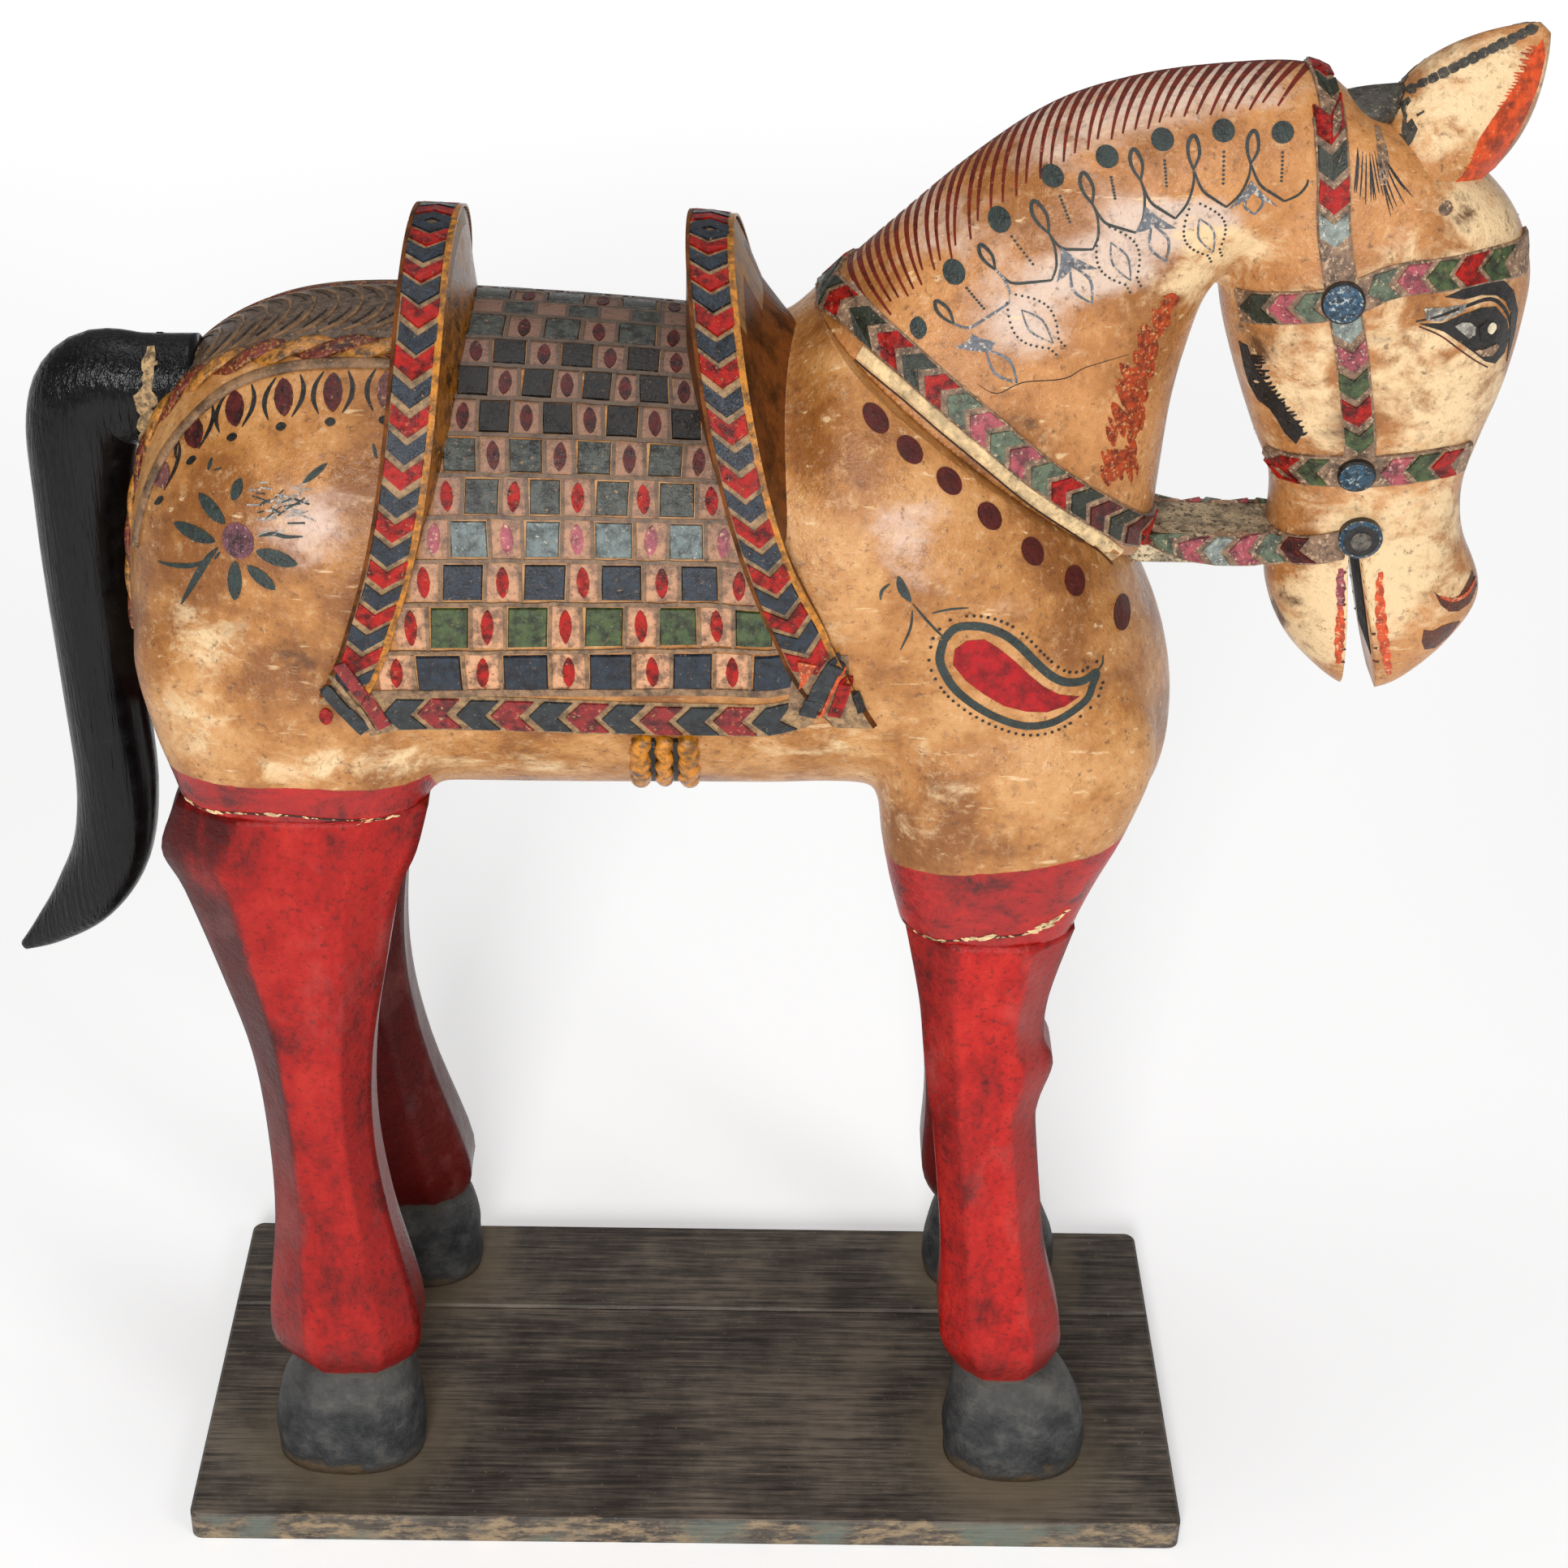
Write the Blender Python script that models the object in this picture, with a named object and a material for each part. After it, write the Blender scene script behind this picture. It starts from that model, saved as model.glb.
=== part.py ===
"""Carved wooden wedding horse on its plank stand.

The horse is put together from blocks: a torso with its saddle, a neck and head with the rein bar, four legs
and a tail. It stands on a board of two planks. X runs towards the head, Y = 0 is the horse's middle plane,
-Y is the horse's right side, and Z = 0 is the underside of the board. All lengths are in metres.
"""

import math

import bmesh
import bpy
from mathutils import Matrix, Vector

# ---------------------------------------------------------------- driving dimensions
GAP = 0.0003  # clearance between touching pieces

BOARD_LENGTH = 0.620
BOARD_DEPTH = 0.271
BOARD_THICK = 0.020
BOARD_CENTRE_Y = -0.012
BOARD_SEAM_Y = 0.041
BOARD_CORNER = 0.007
BOARD_EDGE = 0.002

FORE_JOINT_Z = 0.438
HIND_JOINT_Z = 0.515
STUMP_Y = 0.072
STUMP_REACH = 0.039  # half width of the notch that takes a hind leg
NEAR_HOOF_Y = -0.081
FAR_HOOF_Y = 0.089
FAR_HIND_STEP = 0.022  # how far the left hind hoof stands ahead of the right one
FAR_FORE_STEP = -0.004
FAR_DROP = 0.013  # how much lower the left fetlocks are carved

SEAT_LOW = (0.235, 0.6445)  # X and Z of the front end of the sloping neck joint
SEAT_HIGH = (0.055, 0.7815)  # and of its end at the withers

ARCH_BAND = 0.0205  # width of the outer face of pommel and cantle
ARCH_FOOT_RISE = 0.003
ARCH_SPAN = 1.97  # angle from the spine to a foot, in radians
ARCH_BURIED = 0.012  # how deep the arches reach into the torso
# Each arch: X at the spine, rise above the saddle there, X offset of the feet, curve of that offset, flank width.
CANTLE = (-0.138, 0.045, -0.060, 3.0, 0.013)
POMMEL = (+0.004, 0.052, +0.076, 1.3, 0.027)

KNOT_ROLLS_X = (-0.0255, -0.0137, -0.0019)
KNOT_RADIUS = 0.0057
KNOT_LIFT = 0.0015
KNOT_FROM = 2.00  # angles from the spine, in radians
KNOT_TO = 2.56

SLIT_TOP = (0.3535, 0.650)
SLIT_LOW = (0.3750, 0.545)
SLIT_HALF_TOP = 0.0035
SLIT_HALF_LOW = 0.0110

REIN_HALF = 0.020
REIN_TOP = 0.6515
REIN_UNDER = 0.6335

MORTISE_RADIUS = 0.0310
TENON_RADIUS = 0.0285
TENON_LENGTH = 0.040
MORTISE_AT = (-0.272, 0.7215)
MORTISE_DEPTH = 0.016
MORTISE_CUT = 0.080  # length of the round cut, out past the rump
MORTISE_TILT = math.radians(12.0)

# Melting of the joined forms: grid size, smoothing rounds, share of the faces kept.
BODY_MELT = (0.0055, 14, 0.052)
HEAD_MELT = (0.0045, 6, 0.072)

TORSO_SQUARENESS = 2.2
STUMP_SQUARENESS = 2.4
NECK_SQUARENESS = 2.15
HEAD_SQUARENESS = 2.3
LEG_SQUARENESS = 2.5
EAR_SQUARENESS = 1.9
LEG_SIDES = 12

# Stations of the torso: X, top, underside, half width.
TORSO = (
    (-0.3050, 0.632, 0.562, 0.030),
    (-0.2985, 0.674, 0.533, 0.064),
    (-0.2810, 0.719, 0.509, 0.090),
    (-0.2430, 0.753, 0.500, 0.106),
    (-0.1850, 0.768, 0.496, 0.113),
    (-0.0800, 0.766, 0.495, 0.112),
    (+0.0100, 0.760, 0.496, 0.110),
    (+0.0450, 0.757, 0.497, 0.111),
    (+0.0800, 0.786, 0.497, 0.112),
    (+0.1300, 0.765, 0.495, 0.112),
    (+0.1800, 0.719, 0.488, 0.108),
    (+0.2170, 0.668, 0.478, 0.097),
    (+0.2420, 0.627, 0.478, 0.077),
    (+0.2580, 0.593, 0.492, 0.050),
    (+0.2660, 0.562, 0.512, 0.024),
)

# Stations of the shoulder and thigh stumps: Z, back, front, half depth.
FORE_STUMP = (
    (0.415, 0.1220, 0.2110, 0.035),
    (0.440, 0.1150, 0.2170, 0.037),
    (0.468, 0.1080, 0.2270, 0.039),
    (0.505, 0.1020, 0.2420, 0.042),
    (0.555, 0.1020, 0.2520, 0.041),
    (0.610, 0.1250, 0.2250, 0.018),
)
HIND_STUMP = (
    (0.495, -0.2770, -0.1460, 0.037),
    (0.525, -0.2830, -0.1420, 0.039),
    (0.560, -0.2920, -0.1360, 0.042),
    (0.610, -0.2970, -0.1280, 0.039),
    (0.670, -0.2700, -0.1500, 0.020),
)

# Stations of the legs below their joints: Z, back, front, half depth.
FORE_LEG = (
    (FORE_JOINT_Z, 0.1195, 0.2150, 0.0365),
    (0.390, 0.1290, 0.2040, 0.0330),
    (0.360, 0.1330, 0.2035, 0.0310),
    (0.341, 0.1350, 0.2100, 0.0305),
    (0.312, 0.1390, 0.2035, 0.0285),
    (0.288, 0.1430, 0.2040, 0.0270),
    (0.192, 0.1530, 0.2165, 0.0270),
    (0.131, 0.1550, 0.2300, 0.0330),
    (0.100, 0.1690, 0.2220, 0.0250),
    (0.089, 0.1740, 0.2200, 0.0230),
    (0.081, 0.1740, 0.2280, 0.0230),
)
HIND_LEG = (
    (HIND_JOINT_Z, -0.2800, -0.1440, 0.0375),
    (0.484, -0.2910, -0.1520, 0.0370),
    (0.456, -0.2810, -0.1630, 0.0360),
    (0.400, -0.2660, -0.1740, 0.0330),
    (0.342, -0.2530, -0.1840, 0.0300),
    (0.281, -0.2485, -0.1870, 0.0270),
    (0.218, -0.2490, -0.1810, 0.0270),
    (0.130, -0.2570, -0.1660, 0.0330),
    (0.099, -0.2400, -0.1770, 0.0250),
    (0.089, -0.2340, -0.1820, 0.0230),
    (0.081, -0.2360, -0.1800, 0.0230),
)
HOOF_HALF_DEPTH = 0.033
HOOF_NECK_HALF_DEPTH = 0.023
FORE_HOOF = (0.1620, 0.2530)  # back and front of a hoof on the board
HIND_HOOF = (-0.2630, -0.1680)

# Stations of the neck: crest X and Z, front X and Z, half width.
NECK = (
    (0.0300, 0.745, 0.2280, 0.600, 0.077),
    (0.0680, 0.785, 0.2450, 0.650, 0.074),
    (0.1000, 0.817, 0.2480, 0.682, 0.066),
    (0.1390, 0.853, 0.2500, 0.722, 0.058),
    (0.1780, 0.881, 0.2550, 0.757, 0.052),
    (0.2180, 0.895, 0.2640, 0.790, 0.048),
    (0.2600, 0.902, 0.2840, 0.808, 0.045),
    (0.3040, 0.904, 0.3160, 0.814, 0.041),
    (0.3260, 0.890, 0.3450, 0.820, 0.034),
)

# Stations of the head: Z, back, front, half width.
HEAD = (
    (0.896, 0.2980, 0.3180, 0.020),
    (0.884, 0.2880, 0.3350, 0.034),
    (0.868, 0.2790, 0.3750, 0.043),
    (0.840, 0.2710, 0.4120, 0.049),
    (0.808, 0.2680, 0.4280, 0.053),
    (0.778, 0.2715, 0.4290, 0.053),
    (0.742, 0.2830, 0.4250, 0.050),
    (0.707, 0.2970, 0.4170, 0.043),
    (0.680, 0.3090, 0.4130, 0.038),
    (0.650, 0.3110, 0.4180, 0.036),
    (0.615, 0.3140, 0.4330, 0.036),
    (0.585, 0.3270, 0.4210, 0.031),
    (0.562, 0.3490, 0.4010, 0.023),
    (0.550, 0.3650, 0.3860, 0.010),
)

# An ear in the middle plane: its root, its tip, half its width, and how far it stands out at root and rim.
EAR_ROOT = (0.348, 0.842)
EAR_TIP = (0.4170, 0.9260)
EAR_HALF_WIDTH = 0.0335
EAR_BULGE = 0.049
EAR_RIM = 0.0055

# Stations of the tail: centre X and Z, half width across in X and Z, half depth in Y.
TAIL = (
    (-0.2920, 0.7175, 0.0285, 0.023),
    (-0.3165, 0.7170, 0.0305, 0.024),
    (-0.3280, 0.6960, 0.0290, 0.024),
    (-0.3325, 0.6550, 0.0265, 0.025),
    (-0.3345, 0.6080, 0.0245, 0.025),
    (-0.3345, 0.5360, 0.0230, 0.024),
    (-0.3340, 0.4700, 0.0232, 0.022),
    (-0.3420, 0.4230, 0.0225, 0.019),
    (-0.3610, 0.3880, 0.0190, 0.014),
    (-0.3840, 0.3640, 0.0110, 0.008),
    (-0.4030, 0.3500, 0.0030, 0.003),
)


# ---------------------------------------------------------------- shared tools
def material(name, colour, roughness, metallic=0.0):
    """A Principled material with one plain colour."""
    made = bpy.data.materials.new(name)
    made.use_nodes = True
    shader = made.node_tree.nodes["Principled BSDF"]
    shader.inputs["Base Color"].default_value = (*colour, 1.0)
    shader.inputs["Roughness"].default_value = roughness
    shader.inputs["Metallic"].default_value = metallic
    return made


def add_object(name, bm, surface=None):
    """Turns a bmesh into a named object with outward faces."""
    bmesh.ops.recalc_face_normals(bm, faces=bm.faces)
    mesh = bpy.data.meshes.new(name)
    bm.to_mesh(mesh)
    bm.free()
    made = bpy.data.objects.new(name, mesh)
    bpy.context.scene.collection.objects.link(made)
    if surface:
        mesh.materials.append(surface)
    return made


def as_tool(tool):
    """Marks an object as a cutter or a joined form, which is not a piece of its own."""
    tool.hide_render = True
    tool.display_type = "WIRE"
    return tool


def boolean(target, tool, operation):
    """Adds an exact Boolean of one object with another."""
    modifier = target.modifiers.new(tool.name, "BOOLEAN")
    modifier.operation = operation
    modifier.solver = "EXACT"
    modifier.object = as_tool(tool)


def oval(angle, squareness):
    """The unit superellipse at an angle from its top, as (across, up)."""
    power = 2.0 / squareness
    across = math.copysign(abs(math.sin(angle)) ** power, math.sin(angle))
    up = math.copysign(abs(math.cos(angle)) ** power, math.cos(angle))
    return across, up


def spline(stations, place):
    """Reads a smooth curve through the stations; place runs from 0 to the last station's index."""
    index = min(int(place), len(stations) - 2)
    share = place - index
    before = stations[max(index - 1, 0)]
    start = stations[index]
    end = stations[index + 1]
    after = stations[min(index + 2, len(stations) - 1)]
    values = []
    for a, b, c, d in zip(before, start, end, after):
        curve = 2 * b + (c - a) * share
        curve += (2 * a - 5 * b + 4 * c - d) * share**2
        curve += (3 * b - a - 3 * c + d) * share**3
        values.append(curve / 2)
    return values


def resampled(stations, steps):
    """The stations with smooth steps put in between."""
    last = len(stations) - 1
    return [spline(stations, last * step / (last * steps)) for step in range(last * steps + 1)]


def loft(bm, rings):
    """Skins closed rings of points and fills both ends."""
    loops = []
    for ring in rings:
        verts = [bm.verts.new(point) for point in ring]
        loops.append([bm.edges.new((verts[i - 1], verts[i])) for i in range(len(verts))])
    for first, second in zip(loops, loops[1:]):
        bmesh.ops.bridge_loops(bm, edges=first + second)
    for end in (loops[0], loops[-1]):
        bmesh.ops.edgeloop_fill(bm, edges=end)


def level_ring(z, back, front, half_depth, centre_y, squareness, count, turn=0.0):
    """A level superellipse ring."""
    ring = []
    for step in range(count):
        across, along = oval(2 * math.pi * step / count + turn, squareness)
        x = (back + front) / 2 + along * (front - back) / 2
        ring.append((x, centre_y + across * half_depth, z))
    return ring


def carve_smooth(piece, voxel, smoothing, share):
    """Melts overlapping forms into one rounded, smoothly shaded block with few faces."""
    remesh = piece.modifiers.new("melt", "REMESH")
    remesh.mode = "VOXEL"
    remesh.voxel_size = voxel
    remesh.use_smooth_shade = True
    smooth = piece.modifiers.new("round", "SMOOTH")
    smooth.factor = 0.5
    smooth.iterations = smoothing
    thin = piece.modifiers.new("thin", "DECIMATE")
    thin.ratio = share


def wedge_above(name, side, clearance):
    """A large block above (side 1) or below (side -1) the sloping neck joint."""
    low = Vector((SEAT_LOW[0], 0, SEAT_LOW[1]))
    high = Vector((SEAT_HIGH[0], 0, SEAT_HIGH[1]))
    along = (high - low).normalized()
    normal = along.cross(Vector((0, 1, 0))).normalized()
    if normal.z < 0:
        normal.negate()
    size = 0.8
    bm = bmesh.new()
    bmesh.ops.create_cube(bm, size=size)
    across = Vector((0, 1, 0))
    turn = Matrix((along, across, normal)).transposed().to_4x4()
    start = high - along * size / 2 if side > 0 else (low + high) / 2
    centre = start + side * normal * (size / 2 + clearance)
    bmesh.ops.transform(bm, matrix=Matrix.Translation(centre) @ turn, verts=bm.verts)
    return add_object(name, bm)


def slab(name, low, high):
    """A plain box between two corners."""
    bm = bmesh.new()
    bmesh.ops.create_cube(bm, size=1.0)
    size = Vector(high) - Vector(low)
    centre = (Vector(high) + Vector(low)) / 2
    bmesh.ops.transform(bm, matrix=Matrix.Translation(centre) @ Matrix.Diagonal((*size, 1.0)), verts=bm.verts)
    return add_object(name, bm)


# ---------------------------------------------------------------- torso and saddle
def torso_section(x):
    """Top, underside and half width of the torso at X."""
    for index in range(len(TORSO) - 1):
        if x <= TORSO[index + 1][0] or index == len(TORSO) - 2:
            span = TORSO[index + 1][0] - TORSO[index][0]
            return spline(TORSO, index + (x - TORSO[index][0]) / span)[1:]


def torso_point(x, angle, rise=0.0):
    """A point of the torso's skin at an angle from the spine towards -Y, raised along the section's normal."""
    top, under, half = torso_section(x)
    across, up = oval(angle, TORSO_SQUARENESS)
    middle = (top + under) / 2
    point = Vector((x, -across * half, middle + up * (top - under) / 2))
    outward = Vector((0, -math.sin(angle) / half, math.cos(angle) * 2 / (top - under))).normalized()
    return point + outward * rise


def torso_block():
    """The barrel, the two shoulders and the two thighs, melted together."""
    bm = bmesh.new()
    count = 36
    rings = []
    for x, top, under, half in resampled(TORSO, 3):
        middle = (top + under) / 2
        ring = []
        for step in range(count):
            across, up = oval(2 * math.pi * step / count, TORSO_SQUARENESS)
            ring.append((x, -across * half, middle + up * (top - under) / 2))
        rings.append(ring)
    loft(bm, rings)
    for stations in (FORE_STUMP, HIND_STUMP):
        for centre_y in (-STUMP_Y, STUMP_Y):
            rings = [
                level_ring(z, back, front, depth, centre_y, STUMP_SQUARENESS, 24)
                for z, back, front, depth in resampled(stations, 3)
            ]
            loft(bm, rings)
    return bm


def arch(name, top_x, high, sweep, sweep_power, flank):
    """A saddle arch over the back: outer band, and a flank that slopes down towards the head."""
    steps = 30
    rings = []
    for step in range(steps + 1):
        angle = ARCH_SPAN * (2 * step / steps - 1)
        share = abs(angle) / ARCH_SPAN
        x = top_x + sweep * share**sweep_power
        rise = ARCH_FOOT_RISE + (high - ARCH_FOOT_RISE) * max(math.cos(angle), 0) ** 1.3
        slope = flank * (0.25 + 0.75 * (1 - share) ** 0.7)
        ring = [
            torso_point(x - ARCH_BAND / 2, angle, -ARCH_BURIED),
            torso_point(x - ARCH_BAND / 2, angle, rise),
            torso_point(x + ARCH_BAND / 2, angle, rise),
            torso_point(x + ARCH_BAND / 2 + slope, angle),
            torso_point(x + ARCH_BAND / 2 + slope, angle, -ARCH_BURIED),
        ]
        middle = torso_point(x, angle)
        for point in ring:
            point.y = middle.y + (point.y - torso_point(point.x, angle).y)
        rings.append(ring)
    bm = bmesh.new()
    loft(bm, rings)
    return add_object(name, bm)


def girth_knot(name, side):
    """Three cord rolls tied under the saddle's edge."""
    bm = bmesh.new()
    steps = 6
    corners = 8
    for x in KNOT_ROLLS_X:
        rings = []
        for step in range(steps + 1):
            share = step / steps
            angle = KNOT_FROM + (KNOT_TO - KNOT_FROM) * share
            centre = torso_point(x, angle, KNOT_LIFT)
            thick = KNOT_RADIUS * math.sin(math.pi * (0.12 + 0.76 * share)) ** 0.5
            outward = (centre - torso_point(x, angle)).normalized()
            ring = []
            for corner in range(corners):
                turn = 2 * math.pi * corner / corners
                point = centre + thick * (math.cos(turn) * Vector((1, 0, 0)) + math.sin(turn) * outward)
                ring.append((point.x, side * point.y, point.z))
            rings.append(ring)
        loft(bm, rings)
    return add_object(name, bm)


def mortise(name, radius, depth, length):
    """The round socket in the rump that takes the tail, or the tail's round end, along one axis."""
    bm = bmesh.new()
    bmesh.ops.create_cone(
        bm, cap_ends=True, segments=24, radius1=radius, radius2=radius, depth=length
    )
    along = Vector((math.cos(MORTISE_TILT), 0, math.sin(MORTISE_TILT)))
    start = Vector((MORTISE_AT[0], 0, MORTISE_AT[1]))
    turn = along.to_track_quat("Z", "Y").to_matrix().to_4x4()
    centre = start + along * (depth - length / 2)
    bmesh.ops.transform(bm, matrix=Matrix.Translation(centre) @ turn, verts=bm.verts)
    return add_object(name, bm)


def build_body(surface):
    body = add_object("body", torso_block(), surface)
    carve_smooth(body, *BODY_MELT)
    boolean(body, arch("cantle_form", *CANTLE), "UNION")
    boolean(body, arch("pommel_form", *POMMEL), "UNION")
    boolean(body, girth_knot("knot_form_right", 1), "UNION")
    boolean(body, girth_knot("knot_form_left", -1), "UNION")
    boolean(body, wedge_above("neck_seat_cut", 1, 0.0), "DIFFERENCE")
    fore_low = (0.05, -0.2, FORE_JOINT_Z - 0.1)
    fore_cut = slab("fore_joint_cut", fore_low, (0.3, 0.2, FORE_JOINT_Z + GAP))
    boolean(body, fore_cut, "DIFFERENCE")
    for label, centre_y in (("right", -STUMP_Y), ("left", STUMP_Y)):
        low = (HIND_LEG[0][1] - 0.02, centre_y - STUMP_REACH, HIND_JOINT_Z - 0.1)
        high = (HIND_LEG[0][2] + 0.002, centre_y + STUMP_REACH, HIND_JOINT_Z + GAP)
        boolean(body, slab("hind_joint_cut_" + label, low, high), "DIFFERENCE")
    socket = mortise("tail_mortise", MORTISE_RADIUS, MORTISE_DEPTH, MORTISE_CUT)
    boolean(body, socket, "DIFFERENCE")
    return body


# ---------------------------------------------------------------- neck and head
def neck_block(bm):
    count = 28
    rings = []
    for crest_x, crest_z, front_x, front_z, half in resampled(NECK, 3):
        crest = Vector((crest_x, 0, crest_z))
        front = Vector((front_x, 0, front_z))
        middle = (crest + front) / 2
        ring = []
        for step in range(count):
            across, up = oval(2 * math.pi * step / count, NECK_SQUARENESS)
            point = middle + up * (crest - front) / 2
            ring.append((point.x, across * half, point.z))
        rings.append(ring)
    loft(bm, rings)


def head_block(bm):
    rings = [
        level_ring(z, back, front, depth, 0.0, HEAD_SQUARENESS, 28)
        for z, back, front, depth in resampled(HEAD, 3)
    ]
    loft(bm, rings)


def rein_bar(name):
    """The solid bar that the two reins form between the breast and the chin."""
    return slab(name, (0.225, -REIN_HALF, REIN_UNDER), (0.322, REIN_HALF, REIN_TOP))


def ear_pair(name):
    """Two leaf-shaped ears side by side, flat where they meet and full on the outside."""
    root = Vector((EAR_ROOT[0], 0, EAR_ROOT[1]))
    along = Vector((EAR_TIP[0], 0, EAR_TIP[1])) - root
    across = Vector((-along.z, 0, along.x)).normalized()
    steps = 12
    count = 16
    rings = []
    for step in range(steps + 1):
        share = step / steps
        width = EAR_HALF_WIDTH * math.sin(math.pi * (0.10 + 0.88 * share)) ** 0.8
        bulge = EAR_RIM + (EAR_BULGE - EAR_RIM) * (1 - share) ** 1.1
        centre = root + along * share
        ring = []
        for corner in range(count):
            side, up = oval(2 * math.pi * corner / count, EAR_SQUARENESS)
            point = centre + across * up * width
            ring.append((point.x, side * bulge, point.z))
        rings.append(ring)
    bm = bmesh.new()
    loft(bm, rings)
    return add_object(name, bm)


def mouth_slit(name):
    """The cut between the jaws, a little wider at the lips."""
    top = Vector((SLIT_TOP[0], 0, SLIT_TOP[1]))
    low = Vector((SLIT_LOW[0], 0, SLIT_LOW[1]))
    half_deep = 0.06
    ring_near = []
    for point, half in ((top, SLIT_HALF_TOP), (low, SLIT_HALF_LOW)):
        ring_near.append((point + Vector((-half, -half_deep, 0))))
        ring_near.append((point + Vector((half, -half_deep, 0))))
    ring_near = [ring_near[0], ring_near[1], ring_near[3], ring_near[2]]
    ring_far = [point + Vector((0, 2 * half_deep, 0)) for point in ring_near]
    bm = bmesh.new()
    loft(bm, [ring_near, ring_far])
    return add_object(name, bm)


def build_neck_and_head(surface):
    bm = bmesh.new()
    neck_block(bm)
    head_block(bm)
    piece = add_object("neck_and_head", bm, surface)
    carve_smooth(piece, *HEAD_MELT)
    boolean(piece, rein_bar("rein_form"), "UNION")
    boolean(piece, ear_pair("ear_form"), "UNION")
    boolean(piece, mouth_slit("mouth_cut"), "DIFFERENCE")
    boolean(piece, wedge_above("neck_foot_cut", -1, -GAP), "DIFFERENCE")
    return piece


# ---------------------------------------------------------------- legs
def leg_ring(z, back, front, half_depth, centre_y):
    """A level ring with the leg's flat sides."""
    turn = math.pi / LEG_SIDES
    return level_ring(z, back, front, half_depth, centre_y, LEG_SQUARENESS, LEG_SIDES, turn)


def hoof_rings(back, front, centre_y, neck_back, neck_front, top_z):
    """Rings of a domed hoof from its neck down to the board."""
    rings = []
    steps = 6
    floor_z = BOARD_THICK + GAP
    for step in range(1, steps + 1):
        share = step / steps
        swell = math.sin(math.pi / 2 * share) ** 0.6
        z = floor_z + (top_z - floor_z) * math.cos(math.pi / 2 * share)
        ring_back = neck_back + (back - neck_back) * swell
        ring_front = neck_front + (front - neck_front) * swell
        depth = HOOF_NECK_HALF_DEPTH + (HOOF_HALF_DEPTH - HOOF_NECK_HALF_DEPTH) * swell
        rings.append(leg_ring(z, ring_back, ring_front, depth, centre_y))
    return rings


def build_leg(name, stations, hoof, centre_y, step_forward, drop, surface):
    """A faceted leg and its hoof in one piece, leaning from the stump to where the hoof stands."""
    top_z = stations[0][0] - GAP
    low_z = stations[-1][0]
    side = math.copysign(STUMP_Y, centre_y)
    rings = []
    for z, back, front, depth in stations:
        share = max(top_z - z, 0.0) / (top_z - low_z)
        y = side + (centre_y - side) * share
        shift = step_forward * share**3
        level = min(z, top_z) - drop * share**2
        rings.append(leg_ring(level, back + shift, front + shift, depth, y))
    last = stations[-1]
    rings += hoof_rings(
        hoof[0] + step_forward,
        hoof[1] + step_forward,
        centre_y,
        last[1] + step_forward,
        last[2] + step_forward,
        low_z - drop,
    )
    bm = bmesh.new()
    loft(bm, rings)
    return add_object(name, bm, surface)


# ---------------------------------------------------------------- tail
def build_tail(surface):
    """A thick curved tail with a round tenon at its root."""
    rings = []
    path = resampled(TAIL, 2)
    count = 12
    for index, (x, z, half, depth) in enumerate(path):
        before = path[max(index - 1, 0)]
        after = path[min(index + 1, len(path) - 1)]
        along = Vector((after[0] - before[0], 0, after[1] - before[1])).normalized()
        across = Vector((along.z, 0, -along.x))
        ring = []
        for corner in range(count):
            side, up = oval(2 * math.pi * corner / count, 2.0)
            point = Vector((x, 0, z)) + across * up * half
            ring.append((point.x, side * depth, point.z))
        rings.append(ring)
    bm = bmesh.new()
    loft(bm, rings)
    for face in bm.faces:
        face.smooth = True
    tail = add_object("tail", bm, surface)
    tenon = mortise("tail_tenon", TENON_RADIUS, MORTISE_DEPTH - 2 * GAP, TENON_LENGTH)
    boolean(tail, tenon, "UNION")
    return tail


# ---------------------------------------------------------------- stand
def build_board(name, low_y, high_y, surface):
    """One plank of the stand with rounded outer corners and eased edges."""
    bm = bmesh.new()
    bmesh.ops.create_cube(bm, size=1.0)
    size = Vector((BOARD_LENGTH, high_y - low_y, BOARD_THICK))
    centre = Vector((0, (low_y + high_y) / 2, BOARD_THICK / 2))
    bmesh.ops.transform(bm, matrix=Matrix.Translation(centre) @ Matrix.Diagonal((*size, 1.0)), verts=bm.verts)
    outer_y = low_y if abs(low_y) > abs(high_y) else high_y
    corners = [
        edge
        for edge in bm.edges
        if abs(edge.verts[0].co.z - edge.verts[1].co.z) > BOARD_THICK / 2
        and abs(edge.verts[0].co.y - outer_y) < GAP
    ]
    bmesh.ops.bevel(
        bm, geom=corners, offset=BOARD_CORNER, offset_type="OFFSET", segments=4, profile=0.5, affect="EDGES"
    )
    rims = [
        edge
        for edge in bm.edges
        if edge.verts[0].co.z > BOARD_THICK / 2 and edge.verts[1].co.z > BOARD_THICK / 2
    ]
    bmesh.ops.bevel(
        bm, geom=rims, offset=BOARD_EDGE, offset_type="OFFSET", segments=1, profile=0.5, affect="EDGES"
    )
    return add_object(name, bm, surface)


# ---------------------------------------------------------------- the whole object
def clear_scene():
    for old in list(bpy.data.objects):
        bpy.data.objects.remove(old, do_unlink=True)


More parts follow.
